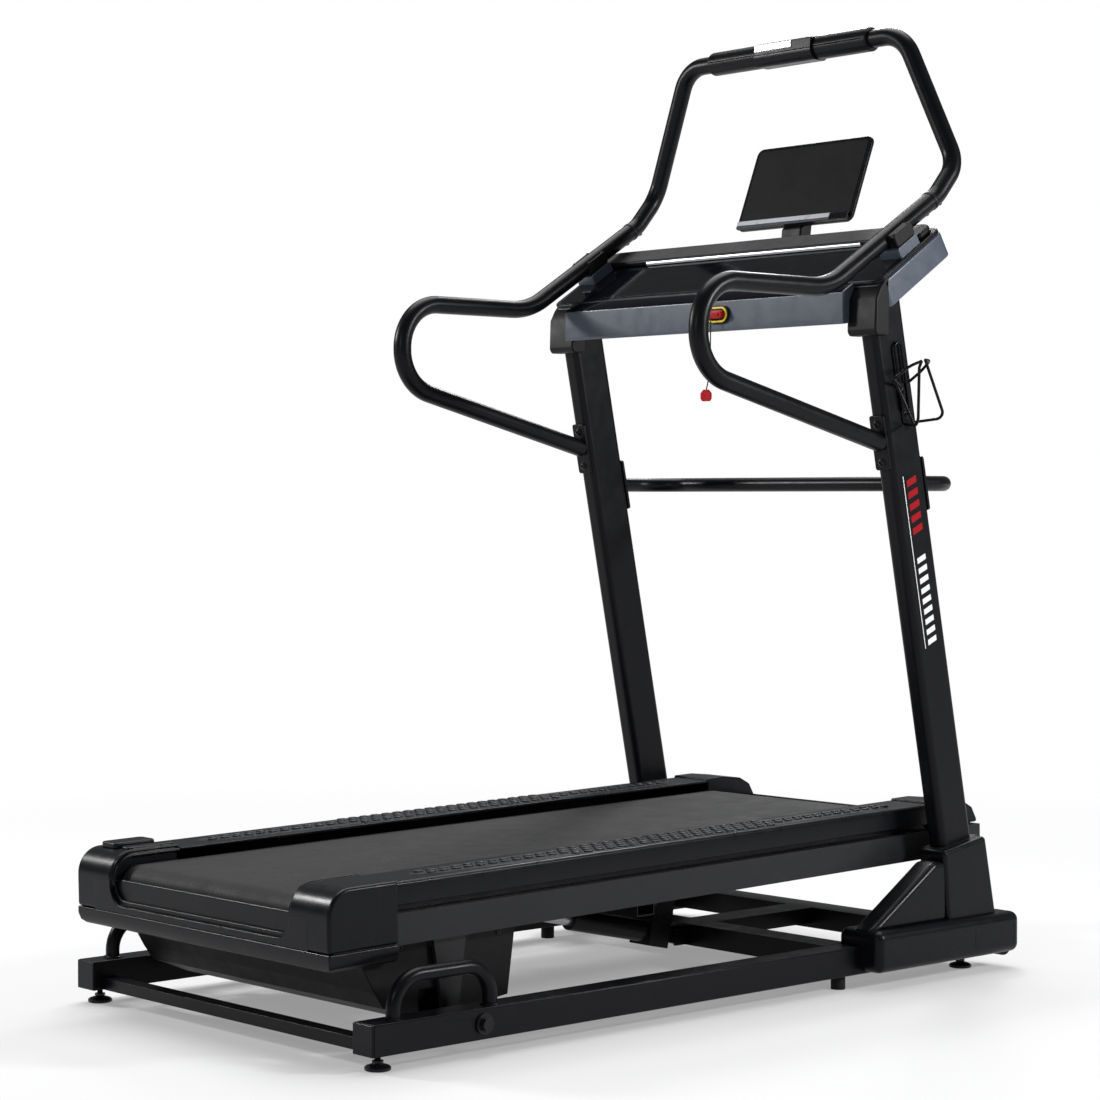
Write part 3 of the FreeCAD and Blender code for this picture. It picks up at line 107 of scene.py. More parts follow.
def surface(name, colour, roughness, grain, strength, metallic=0.0, patchy=0.25, specular=0.5):
    """A finish with a fine grain in its surface and slow changes in colour and gloss."""
    material, tree, shader = new_material(name)
    slow = noise(tree, 9.0, 5.0)
    dark = [c * (1 - patchy) for c in colour]
    light = [c * (1 + patchy) for c in colour]
    tree.links.new(tinted(tree, slow, dark, light), shader.inputs["Base Color"])
    spread = ranged(tree, noise(tree, 35.0, 6.0), roughness - 0.05, roughness + 0.05)
    tree.links.new(spread, shader.inputs["Roughness"])
    shader.inputs["Metallic"].default_value = metallic
    shader.inputs["Specular IOR Level"].default_value = specular
    bumped(tree, shader, noise(tree, grain, 2.0), strength, GRAIN_DEPTH)
    return material


def woven(name, colour, contrast, scale, slant=35):
    """The running belt's diamond weave: two sets of bands, slanted either way in X and Y."""
    material, tree, shader = new_material(name)
    coordinates = tree.nodes.new("ShaderNodeTexCoord")
    waves = []
    for angle in (slant, -slant):
        turn = tree.nodes.new("ShaderNodeMapping")
        turn.inputs["Rotation"].default_value = (0, 0, math.radians(angle))
        wave = tree.nodes.new("ShaderNodeTexWave")
        wave.wave_type, wave.bands_direction = "BANDS", "X"
        wave.inputs["Scale"].default_value = scale
        wave.inputs["Distortion"].default_value = 0.0
        tree.links.new(coordinates.outputs["Object"], turn.inputs["Vector"])
        tree.links.new(turn.outputs["Vector"], wave.inputs["Vector"])
        waves.append(wave.outputs["Fac"])
    cross = tree.nodes.new("ShaderNodeMath")
    cross.operation = "MULTIPLY"
    for i, wave in enumerate(waves):
        tree.links.new(wave, cross.inputs[i])
    light = [c * contrast for c in colour]
    tree.links.new(tinted(tree, cross.outputs[0], colour, light), shader.inputs["Base Color"])
    tree.links.new(ranged(tree, noise(tree, 20.0), 0.56, 0.68), shader.inputs["Roughness"])
    shader.inputs["Specular IOR Level"].default_value = 0.2
    bumped(tree, shader, cross.outputs[0], 1.0, WEAVE_DEPTH)
    return material


def brushed(name, colour, roughness):
    """Bare metal with fine lines along X."""
    material, tree, shader = new_material(name)
    coordinates = tree.nodes.new("ShaderNodeTexCoord")
    stretch = tree.nodes.new("ShaderNodeMapping")
    stretch.inputs["Scale"].default_value = (12, 900, 900)
    lines = tree.nodes.new("ShaderNodeTexNoise")
    lines.inputs["Scale"].default_value = 1.0
    tree.links.new(coordinates.outputs["Object"], stretch.inputs["Vector"])
    tree.links.new(stretch.outputs["Vector"], lines.inputs["Vector"])
    tree.links.new(ranged(tree, lines.outputs["Fac"], roughness - 0.08, roughness + 0.1),
                   shader.inputs["Roughness"])
    tree.links.new(tinted(tree, lines.outputs["Fac"], [c * 0.8 for c in colour], colour),
                   shader.inputs["Base Color"])
    shader.inputs["Metallic"].default_value = 1.0
    bumped(tree, shader, lines.outputs["Fac"], 0.08, 0.0001)
    return material


COAT = surface("powder_coat", (0.003, 0.0033, 0.0045), 0.33, 1400, 0.05, specular=0.13)
SATIN = surface("satin_plastic", (0.0032, 0.0036, 0.005), 0.31, 2200, 0.05, specular=0.14)
MATTE = surface("matte_plastic", (0.0032, 0.0034, 0.0042), 0.48, 2200, 0.12, specular=0.16)
SLATE = surface("slate_plastic", (0.046, 0.06, 0.084), 0.34, 2400, 0.05)
GLOSS = surface("gloss_black", (0.0026, 0.003, 0.0046), 0.08, 600, 0.01, patchy=0.1,
                specular=0.12)
BELT = woven("belt_weave", (0.0028, 0.003, 0.0034), 4.6, 50)
# black plastic painted about five times lighter than the satin plastic, with more specular: a
# painted highlight on the ribbed strip and its bumps
RIB_PAINTED_HIGHLIGHT = surface("rib_plastic_painted_highlight", (0.017, 0.018, 0.02), 0.3, 1800, 0.2, specular=0.32)
RAIL = surface("rail_paint", (0.014, 0.0145, 0.016), 0.34, 1400, 0.1, specular=0.2)
RUBBER = surface("rubber", (0.0045, 0.0045, 0.005), 0.7, 1200, 0.25, specular=0.25)
STEEL = brushed("steel", (0.55, 0.55, 0.57), 0.32)
BLACK_STEEL = surface("black_steel", (0.01, 0.01, 0.012), 0.32, 1500, 0.12, metallic=0.4,
                      specular=0.3)
SILVER = surface("silver_trim", (0.6, 0.61, 0.64), 0.3, 900, 0.03, metallic=0.25, patchy=0.03)
WOOD = surface("board_face", (0.03, 0.026, 0.022), 0.5, 260, 0.2)
GREEN = surface("circuit_board", (0.008, 0.07, 0.03), 0.4, 300, 0.1)
YELLOW = surface("yellow_plastic", (0.78, 0.58, 0.02), 0.3, 900, 0.04, patchy=0.05)
RED = surface("red_plastic", (0.42, 0.004, 0.008), 0.34, 900, 0.04, patchy=0.06,
              specular=0.2)
WHITE = surface("white_print", (0.72, 0.72, 0.73), 0.5, 900, 0.03, patchy=0.02)
RED_PRINT = surface("red_print", (0.3, 0.003, 0.008), 0.6, 900, 0.03, patchy=0.02,
                    specular=0.1)
CORD = surface("cord", (0.012, 0.012, 0.013), 0.8, 3000, 0.3)


# ---- mesh helpers -----------------------------------------------------------------------------
SHARP, KEPT_SHARP, WELD_GAP = 32, 40, 0.00001


def round_edges(target, width, segments, angle):
    edge = target.modifiers.new("rounded", "BEVEL")
    edge.width, edge.segments = width * MM, segments
    edge.limit_method, edge.angle_limit = "ANGLE", math.radians(angle)
    edge.use_clamp_overlap = True
    edge.harden_normals = True


def from_bmesh(name, mesh, material, place=IDENTITY, bevel=0.0, segments=3, angle=SHARP):
    """A smooth object with crisp corners, in metres, from a bmesh in millimetres."""
    mesh.transform(Matrix.Scale(MM, 4) @ place)
    bmesh.ops.recalc_face_normals(mesh, faces=mesh.faces)
    data = bpy.data.meshes.new(name)
    mesh.to_mesh(data)
    mesh.free()
    data.materials.append(material)
    for polygon in data.polygons:
        polygon.use_smooth = True
    data.set_sharp_from_angle(angle=math.radians(angle))
    made = bpy.data.objects.new(name, data)
    bpy.context.collection.objects.link(made)
    if bevel:
        round_edges(made, bevel, segments, angle)
    return made


def add_prism(mesh, outline, low, high, axis="x", place=IDENTITY):
    """An outline of two coordinates pushed along the third axis, added to a bmesh."""
    def corner(a, b, along):
        order = {"x": (along, a, b), "y": (a, along, b), "z": (a, b, along)}
        return place @ Vector(order[axis])
    ends = [[mesh.verts.new(corner(a, b, along)) for a, b in outline] for along in (low, high)]
    mesh.faces.new(list(reversed(ends[0])))
    mesh.faces.new(ends[1])
    for i in range(len(outline)):
        j = (i + 1) % len(outline)
        mesh.faces.new((ends[0][i], ends[0][j], ends[1][j], ends[1][i]))


def prism(name, parts, material, place=IDENTITY, bevel=1.0, segments=3, angle=SHARP):
    """One object of several prisms, each (outline, low, high) with an axis where it isn't x."""
    mesh = bmesh.new()
    for part in parts:
        add_prism(mesh, *part)
    return from_bmesh(name, mesh, material, place, bevel, segments, angle)


def keep_prisms(prefix, place, rows):
    """Pieces on the frame, a row for each: name, prism, material, bevel, segments, slot, nodes."""
    for name, part, material, bevel, segments, slot, *nodes in rows:
        made = prism(prefix + name, [part], material, place, bevel, segments)
        keep(made, "frame", slot, *nodes)


def both(outline, inner, outer, place=IDENTITY):
    """The same prism on the right and on the left, as two parts for prism."""
    return [(outline, *sorted((sign * inner, sign * outer)), "x", place) for sign in (1, -1)]


def rectangle(low_a, low_b, high_a, high_b):
    return [(low_a, low_b), (high_a, low_b), (high_a, high_b), (low_a, high_b)]


def arc(centre, radius, start, end, count=10):
    """Points on a circle between two angles, ends included."""
    return [(centre[0] + radius * math.cos(math.radians(start + (end - start) * i / count)),
             centre[1] + radius * math.sin(math.radians(start + (end - start) * i / count)))
            for i in range(count + 1)]


def rounded_rectangle(low_a, low_b, high_a, high_b, radius, count=8):
    """A rectangle's outline with round corners."""
    r = radius
    return (arc((high_a - r, high_b - r), r, 0, 90, count)
            + arc((low_a + r, high_b - r), r, 90, 180, count)
            + arc((low_a + r, low_b + r), r, 180, 270, count)
            + arc((high_a - r, low_b + r), r, 270, 360, count))


def join_rings(mesh, rings):
    """A closed skin through rings of vertices that have the same count."""
    for ring, following in zip(rings, rings[1:]):
        for i in range(len(ring)):
            j = (i + 1) % len(ring)
            mesh.faces.new((ring[i], ring[j], following[j], following[i]))
    mesh.faces.new(list(reversed(rings[0])))
    mesh.faces.new(rings[-1])


def add_lathe(mesh, profile, centre, axis, steps=48):
    """A turned shape: the profile gives (radius, distance along the axis), in millimetres."""
    turn = Vector(axis).to_track_quat("Z", "Y").to_matrix()
    rings = []
    for radius, along in profile:
        ring = [mesh.verts.new(Vector(centre) + turn @ Vector(
            (radius * math.cos(2 * math.pi * i / steps),
             radius * math.sin(2 * math.pi * i / steps), along))) for i in range(steps)]
        rings.append(ring)
    join_rings(mesh, rings)


def add_screw(mesh, spot, axis, radii, rises, steps=20):
    """A screw's head: the radii of rim, shoulder and socket, and how high each ring is."""
    rim, shoulder, socket = radii
    add_lathe(mesh, zip((rim, rim, shoulder, socket, socket - 0.1), rises), spot, axis, steps)


def rounded_path(corners, bends, step=5.0):
    """Points along straight runs joined by arcs, one bend radius for each inner corner."""
    corners = [Vector(c) for c in corners]
    points = [corners[0]]
    for before, corner, after, bend in zip(corners, corners[1:], corners[2:], bends):
        back, ahead = (before - corner).normalized(), (after - corner).normalized()
        half = back.angle(ahead) / 2
        centre = corner + (back + ahead).normalized() * (bend / math.sin(half))
        start = corner + back * (bend / math.tan(half)) - centre
        end = corner + ahead * (bend / math.tan(half)) - centre
        turn = start.angle(end)
        count = max(4, int(math.degrees(turn) / step))
        normal = start.cross(end).normalized()
        points += [centre + Matrix.Rotation(turn * i / count, 3, normal) @ start
                   for i in range(count + 1)]
    return points + [corners[-1]]


def add_tube(mesh, points, radius, sides=28):
    """A round tube along points, with no twist from one ring to the next."""
    points = [Vector(p) for p in points]
    ring_list, across = [], None
    for i, here in enumerate(points):
        before = points[max(i - 1, 0)]
        after = points[min(i + 1, len(points) - 1)]
        tangent = (after - before).normalized()
        if across is None:
            across = tangent.orthogonal().normalized()
        across = (across - tangent * across.dot(tangent)).normalized()
        other = tangent.cross(across)
        ring_list.append([mesh.verts.new(
            here + radius * (across * math.cos(2 * math.pi * k / sides)
                             + other * math.sin(2 * math.pi * k / sides)))
            for k in range(sides)])
    join_rings(mesh, ring_list)


def tube(name, paths, radius, material, sides=28):
    """One object of round tubes."""
    mesh = bmesh.new()
    for path in paths:
        add_tube(mesh, path, radius, sides)
    return from_bmesh(name, mesh, material)


def mirrored(points):
    return [Vector((-p[0], p[1], p[2])) for p in points]


def keep(piece, body, slot, *nodes):
    """The piece rides on a body and stands for CAD nodes. The slot is not used."""
    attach(piece, body)
    if nodes:
        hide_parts(*nodes)
    return piece


def weld(node):
    """The CAD's faces don't share vertices, so they are joined where they meet."""
    node.modifiers.new("weld", "WELD").merge_threshold = WELD_GAP


def refine(names, material, bevel=0.8, segments=2):
    """CAD nodes that stay: their own material, with slightly rounded edges."""
    for name in names:
        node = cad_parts[name]
        for slot in node.material_slots:
            slot.material = material
        if bevel:
            weld(node)
            round_edges(node, bevel, segments, KEPT_SHARP)


SIDES = (("right", 1), ("left", -1))


# ---- frame, feet and hoops --------------------------------------------------------------------
RAIL_X, BAR_X, BAR_RADIUS = 387, 396, 17


def base_frame():
    refine(["base_rail_left", "base_rail_right", "rear_cross_tube", "front_subframe"], COAT, 0.8)
    refine(["mid_feet"], RUBBER, 1.5)
    refine(["axle_bolts"], BLACK_STEEL, 0.6)
    refine(["lift_motor", "motor_housing"], BLACK_STEEL, 0.8)
    refine(["deck_cross_members"], COAT, 0.8)
    caps = [(rectangle(-736, 25.3, -732, 74.7), sign * RAIL_X - 24.7, sign * RAIL_X + 24.7)
            for sign in (1, -1)]
    keep(prism("rail_end_caps_moulded", caps, SATIN, bevel=2.5), "frame", "black_plastic",
         "rail_end_caps")

    for end, y in (("rear", -706), ("front", 680)):
        for side, sign in SIDES:
            mesh = bmesh.new()
            centre = (sign * RAIL_X, y, 0)
            add_lathe(mesh, [(18, 0), (20.4, 1), (21, 3), (20.6, 5.4), (18, 7.6), (12, 9.6),
                             (8, 10.4), (7, 12)], centre, (0, 0, 1), 56)
            add_lathe(mesh, [(8.2, 11.5), (9, 12.2), (9, 15.4), (8.2, 16)], centre, (0, 0, 1), 6)
            thread = [(5.0 if i % 2 else 4.4, 16 + i * 0.75) for i in range(56)]
            add_lathe(mesh, thread, centre, (0, 0, 1), 28)
            foot = from_bmesh("foot_%s_%s_turned" % (end, side), mesh, BLACK_STEEL, angle=40)
            keep(foot, "foot_%s_%s_body" % (end, side), "black_steel",
                 "levelling_foot_%s_%s" % (end, side))

    hoop_x, hoop_rear, hoop_front, hoop_top = 390, -678, -482, 139
    run = [(hoop_x, hoop_rear, 73), (hoop_x, hoop_rear, hoop_top),
           (hoop_x, hoop_front, hoop_top), (hoop_x, hoop_front, 73)]
    path = rounded_path(run, [52, 52])
    hoops = tube("transport_hoops_bent", [path, mirrored(path)], 12, COAT)
    keep(hoops, "frame", "powder_coat", "transport_hoops")
    collars = bmesh.new()
    for sign in (1, -1):
        for y in (hoop_rear, hoop_front):
            add_lathe(collars, [(16.5, 75.1), (16.2, 76.4), (14.4, 77.4), (12.1, 78.2)],
                      (sign * hoop_x, y, 0), (0, 0, 1))
    keep(from_bmesh("hoop_weld_beads", collars, COAT), "frame", "powder_coat")

    for side, sign in SIDES:
        mesh = bmesh.new()
        add_lathe(mesh, [(14, -11), (20.4, -11), (21.8, -9.6), (22, -7), (22, 7), (21.8, 9.6),
                         (20.4, 11), (14, 11), (12.5, 8), (7.5, 8), (7.5, 11), (5.1, 11)],
                  (sign * 430, 744, 44), (1, 0, 0))
        wheel = from_bmesh("wheel_%s_turned" % side, mesh, RUBBER)
        keep(wheel, "wheel_%s_body" % side, "foot_rubber", "transport_wheel_%s" % side)


# ---- boots ------------------------------------------------------------------------------------
def leaning(z, offset=0.0):
    """The Y of the upright's rear face at a height, plus an offset."""
    return 630.3 - (z - 75) * math.tan(math.radians(LEAN)) + offset


RUN = 84 / math.cos(math.radians(LEAN))     # the upright's depth, measured level
UP_ALONG = Vector((0, -math.sin(math.radians(LEAN)), math.cos(math.radians(LEAN))))
OUT_FRONT = Vector((0, math.cos(math.radians(LEAN)), math.sin(math.radians(LEAN))))


def boots():
    wedge = ([(374, 99), (588, 99), (588, 211), (553, 211)], 384.5, 433)
    collar = [(588, 96), (leaning(96, RUN + 15), 96), (leaning(249, RUN + 14), 249),
              (575, 229)]
    cuff = [(leaning(150, -13), 150), (leaning(150, RUN + 13), 150),
            (leaning(249, RUN + 13), 249.4), (leaning(231, -13), 231.6)]
    base = rectangle(373, 29, 771, 104)
    for side, sign in SIDES:
        flip = Matrix.Scale(sign, 4, (1, 0, 0))
        boot = prism("boot_%s_base" % side, [(base, 356.5, 457, "x", flip)], SATIN, bevel=16,
                     segments=8)
        keep(boot, "frame", "black_plastic", "boot_%s" % side)
        keep(prism("boot_%s_wedge" % side, [(*wedge, "x", flip)], SATIN, bevel=11, segments=6),
             "frame", "black_plastic")
        keep(prism("boot_%s_collar" % side, [(collar, 373.6, 436.5, "x", flip)], SATIN, bevel=8,
                   segments=6), "frame", "black_plastic")
        # a shallow moulded line on the outer side
        x = sign * 456.8
        line = rounded_path([(x, 640, 50), (x, 640, 84), (x, 752, 84), (x, 752, 50),
                             (x, 642, 50)], [9, 9, 9])
        keep(tube("boot_%s_line" % side, [line], 0.7, MATTE, 8), "frame", "black_plastic")
        keep(prism("boot_%s_cuff" % side, [(cuff, 374.3, 417.5, "x", flip)], MATTE, bevel=1.2),
             "frame", "black_plastic")


# ---- uprights, handrails, arch ----------------------------------------------------------------
def uprights():
    refine(["upright_left", "upright_right"], COAT, 0.0)
    for side in ("left", "right"):
        weld(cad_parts["upright_" + side])
    outer = 415.15
    inner = outer - 0.6
    stripes = [(rectangle(22.2, 532, 24.0, 852), inner, outer, "x", UPRIGHT)]
    for i in range(9):
        low = 536 + i * 19.0
        stripes.append(([(32, low), (56, low + 5), (56, low + 15), (32, low + 10)],
                        inner, outer, "x", UPRIGHT))
    keep(prism("upright_white_stripes", stripes, WHITE, bevel=0.0), "frame", "powder_coat")
    stripes = []
    for i in range(5):
        low = 742 + i * 22.0
        stripes.append(([(31, low), (58, low + 6), (58, low + 18), (31, low + 12)],
                        inner, outer, "x", UPRIGHT))
    keep(prism("upright_red_stripes", stripes, RED_PRINT, bevel=0.0), "frame", "powder_coat")


PLATE_X, RAIL_PLATE, BAR_PLATE = 395.5, (445.3, 975), (546.1, 902)     # middles, in y and z
CAGE_FOOT = Vector((415, leaning(996), 996)) + OUT_FRONT * 50


def plate(mesh, sign, y, z, facing):
    """The plate at a bar's end, lying on the leaning upright."""
    place = (Matrix.Translation((sign * PLATE_X, y, z))
             @ Matrix.Rotation(math.radians(LEAN), 4, "X"))
    outline = rounded_rectangle(-17, -50, 17, 50, 5, 5)
    low, high = (-6, -0.1) if facing < 0 else (0.1, 6)
    add_prism(mesh, outline, low, high, "y", place)


DOME = [(1.25, 0), (1.25, 0.8), (1, 1.0), (0.97, 2.2), (0.8, 3.8), (0.5, 4.8), (0.42, 4.9),
        (0.4, 2.6)]


def dome_bolt(mesh, centre, axis, radius=7.0):
    add_lathe(mesh, [(radius * share, rise) for share, rise in DOME], centre, axis, 32)


GRIP_END, JOINT = Vector((BAR_X, 298, 1246)), Vector((BAR_X, 581, 1421))


def handrails():
    ahead = (JOINT - GRIP_END).normalized()
    path = rounded_path([(BAR_X, 439, 975), (BAR_X, -22, 1091), (BAR_X, -22, 1246),
                         GRIP_END, JOINT], [85, 85, 150], 3)
    for side, sign in SIDES:
        points = path if sign > 0 else mirrored(path)
        joint = Vector((sign * JOINT.x, JOINT.y, JOINT.z))
        rail = tube("handrail_%s_bent" % side, [points], BAR_RADIUS, COAT, 40)
        keep(rail, "frame", "powder_coat", "handrail_" + side)
        mesh = bmesh.new()
        plate(mesh, sign, *RAIL_PLATE, -1)
        keep(from_bmesh("handrail_%s_plate" % side, mesh, COAT, bevel=1.2),
             "frame", "powder_coat")
        ring = bmesh.new()
        add_lathe(ring, [(17.0, 0), (18.0, 0.8), (18.2, 2.2), (18.2, 7), (17.9, 8.2), (17.0, 8.8)],
                  joint - ahead * 9, ahead, 56)
        keep(from_bmesh("handrail_%s_ring" % side, ring, MATTE), "frame", "powder_coat")
        screws = bmesh.new()
        under = Vector((0, 0.55, -0.83)).normalized()
        for along in (-26, 16):
            add_screw(screws, joint + ahead * along + under * 16.4, under, (4.6, 3.4, 1.9),
                      (0, 1.4, 2.6, 2.8, 1.4), 24)
        keep(from_bmesh("handrail_%s_screws" % side, screws, BLACK_STEEL),
             "frame", "black_steel")


def arch():
    ahead = (JOINT - GRIP_END).normalized()
    half = [JOINT + ahead * 0.4, JOINT + ahead * 16, Vector((BAR_X, 650, 1492)),
            Vector((284, 631, 1743))]
    path = rounded_path(half + list(reversed(mirrored(half))), [80, 70, 68, 68, 70, 80], 3)
    bar = tube("upper_handlebar_bent", [path], BAR_RADIUS, COAT, 40)
    keep(bar, "frame", "powder_coat", "upper_handlebar")


def cross_bar():
    path = rounded_path([(BAR_X, 548, 902), (BAR_X, 668, 902), (-BAR_X, 668, 902),
                         (-BAR_X, 548, 902)], [80, 80], 3)
    bar = tube("cross_bar_bent", [path], 14, COAT, 36)
    keep(bar, "frame", "powder_coat", "cross_bar")
    mesh = bmesh.new()
    for sign in (1, -1):
        plate(mesh, sign, *BAR_PLATE, 1)
    keep(from_bmesh("cross_bar_plates", mesh, COAT, bevel=1.2), "frame", "powder_coat")

    mesh = bmesh.new()
    for (y, z), facing in ((RAIL_PLATE, -1), (BAR_PLATE, 1)):
        for sign in (1, -1):
            for step in (-35, 35):
                spot = Vector((sign * PLATE_X, y, z)) + UP_ALONG * step + OUT_FRONT * facing * 6
                dome_bolt(mesh, spot, OUT_FRONT * facing)
    for rise in (20, 62):
        dome_bolt(mesh, CAGE_FOOT + UP_ALONG * rise + Vector((2.9, 0, 0)), (1, 0, 0), 4.2)
    keep(from_bmesh("dome_bolts_turned", mesh, BLACK_STEEL), "frame", "black_steel", "dome_bolts")


def bottle_cage():
    foot, out, side, up = CAGE_FOOT, Vector((1, 0, 0)), OUT_FRONT, UP_ALONG
    height, half, depth, wire = 150, 44, 62, 2.7

    def at(outward, sideways, upward):
        return foot + out * outward + side * sideways + up * upward
    place = Matrix((out, side, up)).transposed().to_4x4()
    place.translation = foot
    back_plate = rounded_rectangle(-10, 2, 10, 78, 9)
    keep(prism("bottle_cage_plate", [(back_plate, 0.1, 3.2, "x", place)], COAT, bevel=0.8),
         "frame", "black_steel", "bottle_cage")
    slots = [(rounded_rectangle(-3.5, low, 3.5, high, 3.4, 6), 2.0, 3.5, "x", place)
             for low, high in ((10, 34), (44, 70))]
    keep(prism("bottle_cage_slots", slots, MATTE, bevel=0.2), "frame", "black_steel")
    back = rounded_path([at(5.2, -9, 30), at(5.2, -9, height + 2), at(5.2, 9, height + 2),
                         at(5.2, 9, 30)], [8.8, 8.8], 8)
    # the front loop climbs from the plate's middle to a hook and comes back along the bottom
    loops = [rounded_path([at(5.2, sign * 8, 74), at(depth * 0.3, sign * half * 0.86, 92),
                           at(depth * 0.82, sign * half * 0.66, 112),
                           at(depth * 0.97, sign * 5, 117)], [16, 24], 8)
             for sign in (-1, 1)]
    hoops = [rounded_path([at(depth * 0.97, sign * 5, 117), at(depth * 0.93, sign * 11, 106),
                           at(depth * 0.97, sign * half * 0.85, 6),
                           at(5.2, sign * 9, 4)], [5, 14], 8)
             for sign in (-1, 1)]
    strut = rounded_path([at(depth * 0.3, -half * 0.86, 92), at(depth * 0.62, -half * 0.5, 4.5)],
                         [], 2)
    wires = tube("bottle_cage_wires", [back, strut] + loops + hoops, wire, COAT, 16)
    keep(wires, "frame", "black_steel")


# ---- grip and its touch panel -----------------------------------------------------------------
GRIP_Y, GRIP_Z, GRIP_R, GRIP_HALF = 631, 1743, 23.2, 206
CORE_HALF = 75
CORE = [(603, 1741), (605, 1761.5), (650, 1767.5), (657, 1741)]


def grip():
    place = Matrix.Translation((0, GRIP_Y, GRIP_Z))
    upper = both(arc((0, 0), GRIP_R, 0.6, 179.4, 36), CORE_HALF - 1, GRIP_HALF, place)
    lower = both(arc((0, 0), GRIP_R, 180.6, 359.4, 36), CORE_HALF - 1, GRIP_HALF, place)
    split = CORE[0][1]
    bowl = ([CORE[0]] + [(y, z) for y, z in arc((GRIP_Y - 1, GRIP_Z), 28, 180, 360, 28)
                         if z < split] + [CORE[-1]])
    bowl = [(max(CORE[0][0], y), max(1719, z)) for y, z in bowl]
    upper.append((CORE, -CORE_HALF, CORE_HALF))
    lower.append((bowl, -CORE_HALF, CORE_HALF))
    keep(prism("grip_upper_moulded", upper, SATIN, bevel=1.6), "frame", "black_plastic",
         "grip_upper_shell")
    keep(prism("grip_lower_moulded", lower, SATIN, bevel=1.6), "frame", "black_plastic",
         "grip_lower_shell")
    ends = bmesh.new()
    for sign in (1, -1):
        add_lathe(ends, [(17.1, -3), (21.5, -3), (22.6, -1.5), (22.6, 1), (21, 3.2), (17.1, 4)],
                  (sign * GRIP_HALF, GRIP_Y, GRIP_Z), (sign, 0, 0), 56)
    keep(from_bmesh("grip_end_rings", ends, MATTE), "frame", "black_plastic")

    top = (Matrix.Translation((0, 605, 1761.5))
           @ Matrix.Rotation(math.atan2(6, 45), 4, "X"))
    panel = rounded_rectangle(-70, 2.5, 70, 43, 5)
    keep(prism("grip_touch_panel", [(panel, -0.6, 0.7, "z", top)], GLOSS, bevel=0.5), "frame",
         "gloss_black")
    marks = bmesh.new()
    for middle in (-52, 46):
        for shift in (-4.5, 4.5):
            x = middle + shift
            add_prism(marks, [(x - 6, 8), (x - 2.4, 8), (x + 7, 34), (x + 3.4, 34)],
                      0.5, 1.0, "z", top)
    for sign in (1, -1):
        for middle in (112, 150):
            rings = []
            for radius in (GRIP_R - 0.5, GRIP_R + 0.3):
                rings.append([marks.verts.new((
                    sign * middle + x, GRIP_Y + radius * math.cos(math.radians(degrees)),
                    GRIP_Z + radius * math.sin(math.radians(degrees))))
                    for x, degrees in ((-12, 92), (12, 92), (15, 106), (-9, 106))])
            join_rings(marks, rings)
    keep(from_bmesh("grip_marks", marks, WHITE), "frame", "black_plastic")
    front = [(603.4, 1747.6), (604.7, 1760.4), (603.6, 1760.6), (602.2, 1747.8)]
    keep(prism("grip_silver_strip", [(front, -73, 24)], SILVER, bevel=0.3), "frame",
         "black_plastic")


# ---- console ----------------------------------------------------------------------------------
LIP_HALF, BODY_HALF, FASCIA_HALF = 369, 433, 429


def console():
    lip = [(0, 0), (-25, -39), (-29, -46), (-28, -50), (-22, -52.5), (0, -61), (41, -61),
           (41, 0)]
    body = rounded_rectangle(-BODY_HALF, 30, BODY_HALF, 230, 14)
    rim = rounded_rectangle(-BODY_HALF - 0.4, 29, BODY_HALF + 0.4, 230.4, 20, 10)
    glass = rounded_rectangle(-FASCIA_HALF + 8, 36, FASCIA_HALF - 8, 222, 12)
    border = rounded_rectangle(-362, 44, 362, 168, 7)
    left = arc((-398, 200), 26, 180, 90, 12)
    band = (left + [(-x, y) for x, y in reversed(left)]
            + [(424, 182), (416, 174), (-416, 174), (-424, 182)])
    strip = [(172.4, 3.2), (174.0, 3.2), (178.6, 11.6), (177.0, 12.4), (172.4, 7.5)]
    seam = [(-0.4, 0.1), (0.6, 0.6), (36, 0.6), (36, 0.1)]
    under = rounded_rectangle(-300, 60, 300, 210, 16)
    keep_prisms("console_", CONSOLE, [
        ("front_panel", (lip, -LIP_HALF, LIP_HALF), SLATE, 2.0, 4, "slate_plastic",
         "console_tray"),
        ("body", (body, -56, -6, "z"), SLATE, 5, 4, "slate_plastic"),
        ("top_rim", (rim, -7, 1.2, "z"), SATIN, 3.2, 4, "black_plastic"),
        ("glass", (glass, -0.6, 2.0, "z"), GLOSS, 0.8, 3, "gloss_black", "console_fascia"),
        ("glass_border", (border, 2.0, 2.7, "z"), GLOSS, 0.4, 3, "gloss_black"),
        ("rear_band", (band, 1.5, 13, "z"), MATTE, 5, 5, "gloss_black"),
        ("band_strip", (strip, -284, 284), SILVER, 0.5, 3, "gloss_black"),
        ("front_seam", (seam, -LIP_HALF + 3, LIP_HALF - 3), GLOSS, 0.2, 3, "gloss_black"),
        ("underside_cover", (under, -58.5, -55, "z"), MATTE, 1.2, 3, "black_plastic")])
    screws = bmesh.new()
    down = CONSOLE.to_3x3() @ Vector((0, 0, -1))
    for x in (-285, -140, 0, 140, 285):
        for y in (72, 198):
            add_screw(screws, CONSOLE @ Vector((x, y, -58.2)), down, (4.2, 3.2, 1.7),
                      (0, 1.0, 1.9, 2.0, 1.0))
    keep(from_bmesh("console_underside_screws", screws, BLACK_STEEL), "frame", "black_steel")

    outline = [(388, 1230), (386, 1173), (391, 1165), (418, 1165), (424, 1170), (424, 1192),
               (424, 1272), (412, 1266), (399, 1250)]
    keep(prism("console_corner_caps", both(outline, 364, 433), MATTE, bevel=7, segments=5),
         "frame", "black_plastic", "corner_caps")


